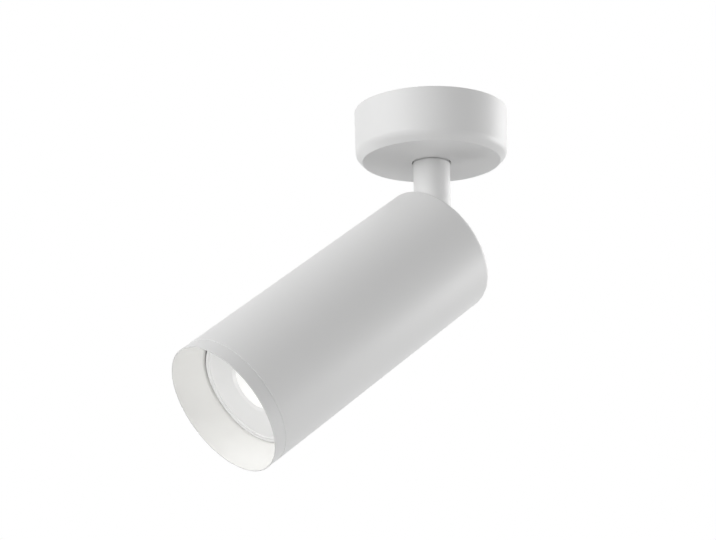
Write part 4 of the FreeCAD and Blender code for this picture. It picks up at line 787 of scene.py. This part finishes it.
ring_paint = Finish("white_ring_coat")
ring_place = ring_paint.place((0, rest_tilt, 0), tuple(pivot))
ring_peel = ring_paint.noise(ring_place, 1100, 1.5)
ring_drift = ring_paint.noise(ring_place, 25, 2)
ring_x, ring_y, ring_z = ring_paint.parts(ring_place)
from_axis = ring_paint.add("ShaderNodeMath", {"operation": "SQRT"}, {0: ring_x * ring_x + ring_y * ring_y})
# Mask of the cone, where the painted warm light takes the place of the plain coat.
inside = ring_paint.add("ShaderNodeMapRange", {"interpolation_type": "SMOOTHSTEP"},
                        {"Value": from_axis, "From Min": cone_from, "From Max": cone_to, "To Min": 0.0, "To Max": 1.0})
# Mask of the lip's narrow front face, which is painted a darker grey.
lip = ring_paint.add("ShaderNodeMapRange", {"interpolation_type": "SMOOTHSTEP"},
                     {"Value": ring_z, "From Min": lip_from, "From Max": lip_to, "To Min": 0.0, "To Max": 1.0})
plain_coat = ring_paint.blend(ring_drift, coat_dark, coat_light)
white_ring = ring_paint.surface(
    base_color=ring_paint.blend(lip, ring_paint.blend(inside, plain_coat, cone_warm_light), lip_face_grey),
    roughness=0.40 + ring_drift * 0.08,
    normal=ring_paint.bump(ring_peel, 0.00001, 0.6))
fit(ring, white_ring, "white_aluminium", "ring_body", "trim_ring")

rubber = Finish("seal_rubber")
rubber_bloom = rubber.noise(rubber.place(), 800, 3)
dress(rubber.surface(base_color=rubber.blend(rubber_bloom, (0.018, 0.018, 0.018, 1), (0.035, 0.035, 0.035, 1)),
                     roughness=0.55 + rubber_bloom * 0.15, normal=rubber.bump(rubber_bloom, 0.00002, 0.5)), "ring_seal")


# Lamp body: a moulded cap with two headed pins, a white lacquered aluminium reflector shell, the driver board behind
# and the light board in the bowl. The whole lamp turns 45 degrees in its holder.
moulded = Finish("moulded_white_plastic")
moulded_place = moulded.place()
grain = moulded.noise(moulded_place, 2600, 2)
cloud = moulded.noise(moulded_place, 60, 2)
white_plastic = moulded.surface(
    base_color=moulded.blend(cloud, (0.83, 0.83, 0.825, 1), (0.85, 0.85, 0.845, 1)),
    roughness=0.34 + cloud * 0.08,
    normal=moulded.bump(grain, 0.000006, 0.5))
dress(white_plastic, "lamp_cap")
dress(tinned_copper, "lamp_pins")
lacquer = Finish("white_lacquer")
lacquer_place = lacquer.place()
lacquer_cloud = lacquer.noise(lacquer_place, 90, 2)
lacquer_peel = lacquer.noise(lacquer_place, 1500, 2)
dress(lacquer.surface(base_color=lacquer.blend(lacquer_cloud, (0.76, 0.76, 0.75, 1), (0.80, 0.80, 0.79, 1)),
                      roughness=0.3 + lacquer_cloud * 0.08, normal=lacquer.bump(lacquer_peel, 0.000008, 0.5)),
      "lamp_shell")
board = Finish("circuit_board")
board_place = board.place((0, rest_tilt, 0), tuple(pivot))
fibres = board.noise(board.scaled(board_place, (2600, 300, 2600)), 1, 2)
pads = board.add("ShaderNodeTexVoronoi", {"feature": "F1"}, {"Vector": board_place, "Scale": 260})
pad_mask = board.add("ShaderNodeMath", {"operation": "LESS_THAN"}, {0: pads, 1: 0.3})
lacquered = board.blend(fibres, (0.62, 0.66, 0.60, 1), (0.70, 0.73, 0.68, 1))
dress(board.surface(base_color=board.blend(pad_mask, lacquered, (0.72, 0.70, 0.66, 1)), metallic=pad_mask * 0.8,
                    roughness=0.45 - pad_mask * 0.15, normal=board.bump(pad_mask, 0.00003, 0.5)),
      "driver_board", "led_board")


# Lamp front: a moulded white cover that snaps into the reflector's bowl, with a raised rim, a narrow step and a
# shallow dish. A small bead rings the eye in its middle, and behind the eye sits a frosted lens that glows a little.
# The front lies 0.3 mm off the ring's middle, within its play.
face_level = -119.2
lamp_radius = 24.9
rim_outer = 24.6
rim_inner = 24.15
rim_step = 0.3
plate_radius = 22.7
plate_step = 0.7
cover_sheet = 1.25
rim_height = 1.37
skirt_height = 6
rim_chamfer = 0.45
step_run = 0.2
front_bevel = 0.15
inner_rim_bevel = 0.1
step_bevel = 0.08
bowl_inner = 22.87
dish_level = -116.0
eye_outer = 12.4
eye_inner = 10.51
eye_level = -115.3
eye_bead = 0.45
lens_sheet = 1.2
lens_radius = 11.48
lens_lap = 1
lens_gap = 0.03
lens_glow = 0.2
front_shift = Matrix.Translation((0.00026, -0.00015, 0))
cover = lathe("lamp_front_cover", [
    (lamp_radius, face_level + rim_height), (bowl_inner, face_level + rim_height),
    (bowl_inner, face_level + skirt_height), (bowl_inner - cover_sheet, face_level + skirt_height),
    (bowl_inner - cover_sheet, face_level + plate_step + cover_sheet),
    (eye_outer + cover_sheet, dish_level + cover_sheet), (eye_inner + cover_sheet, eye_level + lens_sheet),
    (eye_inner + lens_lap, eye_level + lens_sheet), (eye_inner + lens_lap, eye_level), (eye_inner, eye_level),
    (eye_outer - eye_bead, dish_level - eye_bead), (eye_outer, dish_level),
    (plate_radius, face_level + plate_step), (plate_radius + step_run, face_level + rim_step),
    (rim_inner - step_run, face_level + rim_step), (rim_inner, face_level), (rim_outer, face_level),
    (lamp_radius, face_level + rim_chamfer)], steps=160)
soften(cover, rim_inner, face_level, inner_rim_bevel, 2)
soften(cover, rim_outer, face_level, front_bevel, 3)
soften(cover, lamp_radius, face_level + rim_chamfer, front_bevel, 2)
soften(cover, plate_radius + step_run, face_level + rim_step, step_bevel, 2)
soften(cover, eye_outer - eye_bead, dish_level - eye_bead, front_bevel, 3)
smooth(cover)
settle(cover, head_place @ front_shift)
fit(cover, white_plastic, "lamp_plastic", "lamp_body", "lamp_cover")

lens = lathe("frosted_eye", [(0, eye_level + lens_gap), (lens_radius, eye_level + lens_gap),
                             (lens_radius, eye_level + lens_sheet), (0, eye_level + lens_sheet)], steps=128)
smooth(lens)
settle(lens, head_place @ front_shift)
frosted = Finish("frosted_lens")
frosted_place = frosted.place()
frost = frosted.noise(frosted_place, 1500, 2)
frosted_white = frosted.surface(
    base_color=frosted.blend(frost, (0.90, 0.90, 0.89, 1), (0.93, 0.93, 0.92, 1)),
    roughness=0.45 + frost * 0.1,
    emission_strength=lens_glow,
    emission_color=frosted.blend(frost, (1.0, 1.0, 0.98, 1), (0.97, 0.97, 0.95, 1)),
    normal=frosted.bump(frost, 0.00001, 0.5))
fit(lens, frosted_white, "frosted_lens", "lamp_body", "lamp_lens")
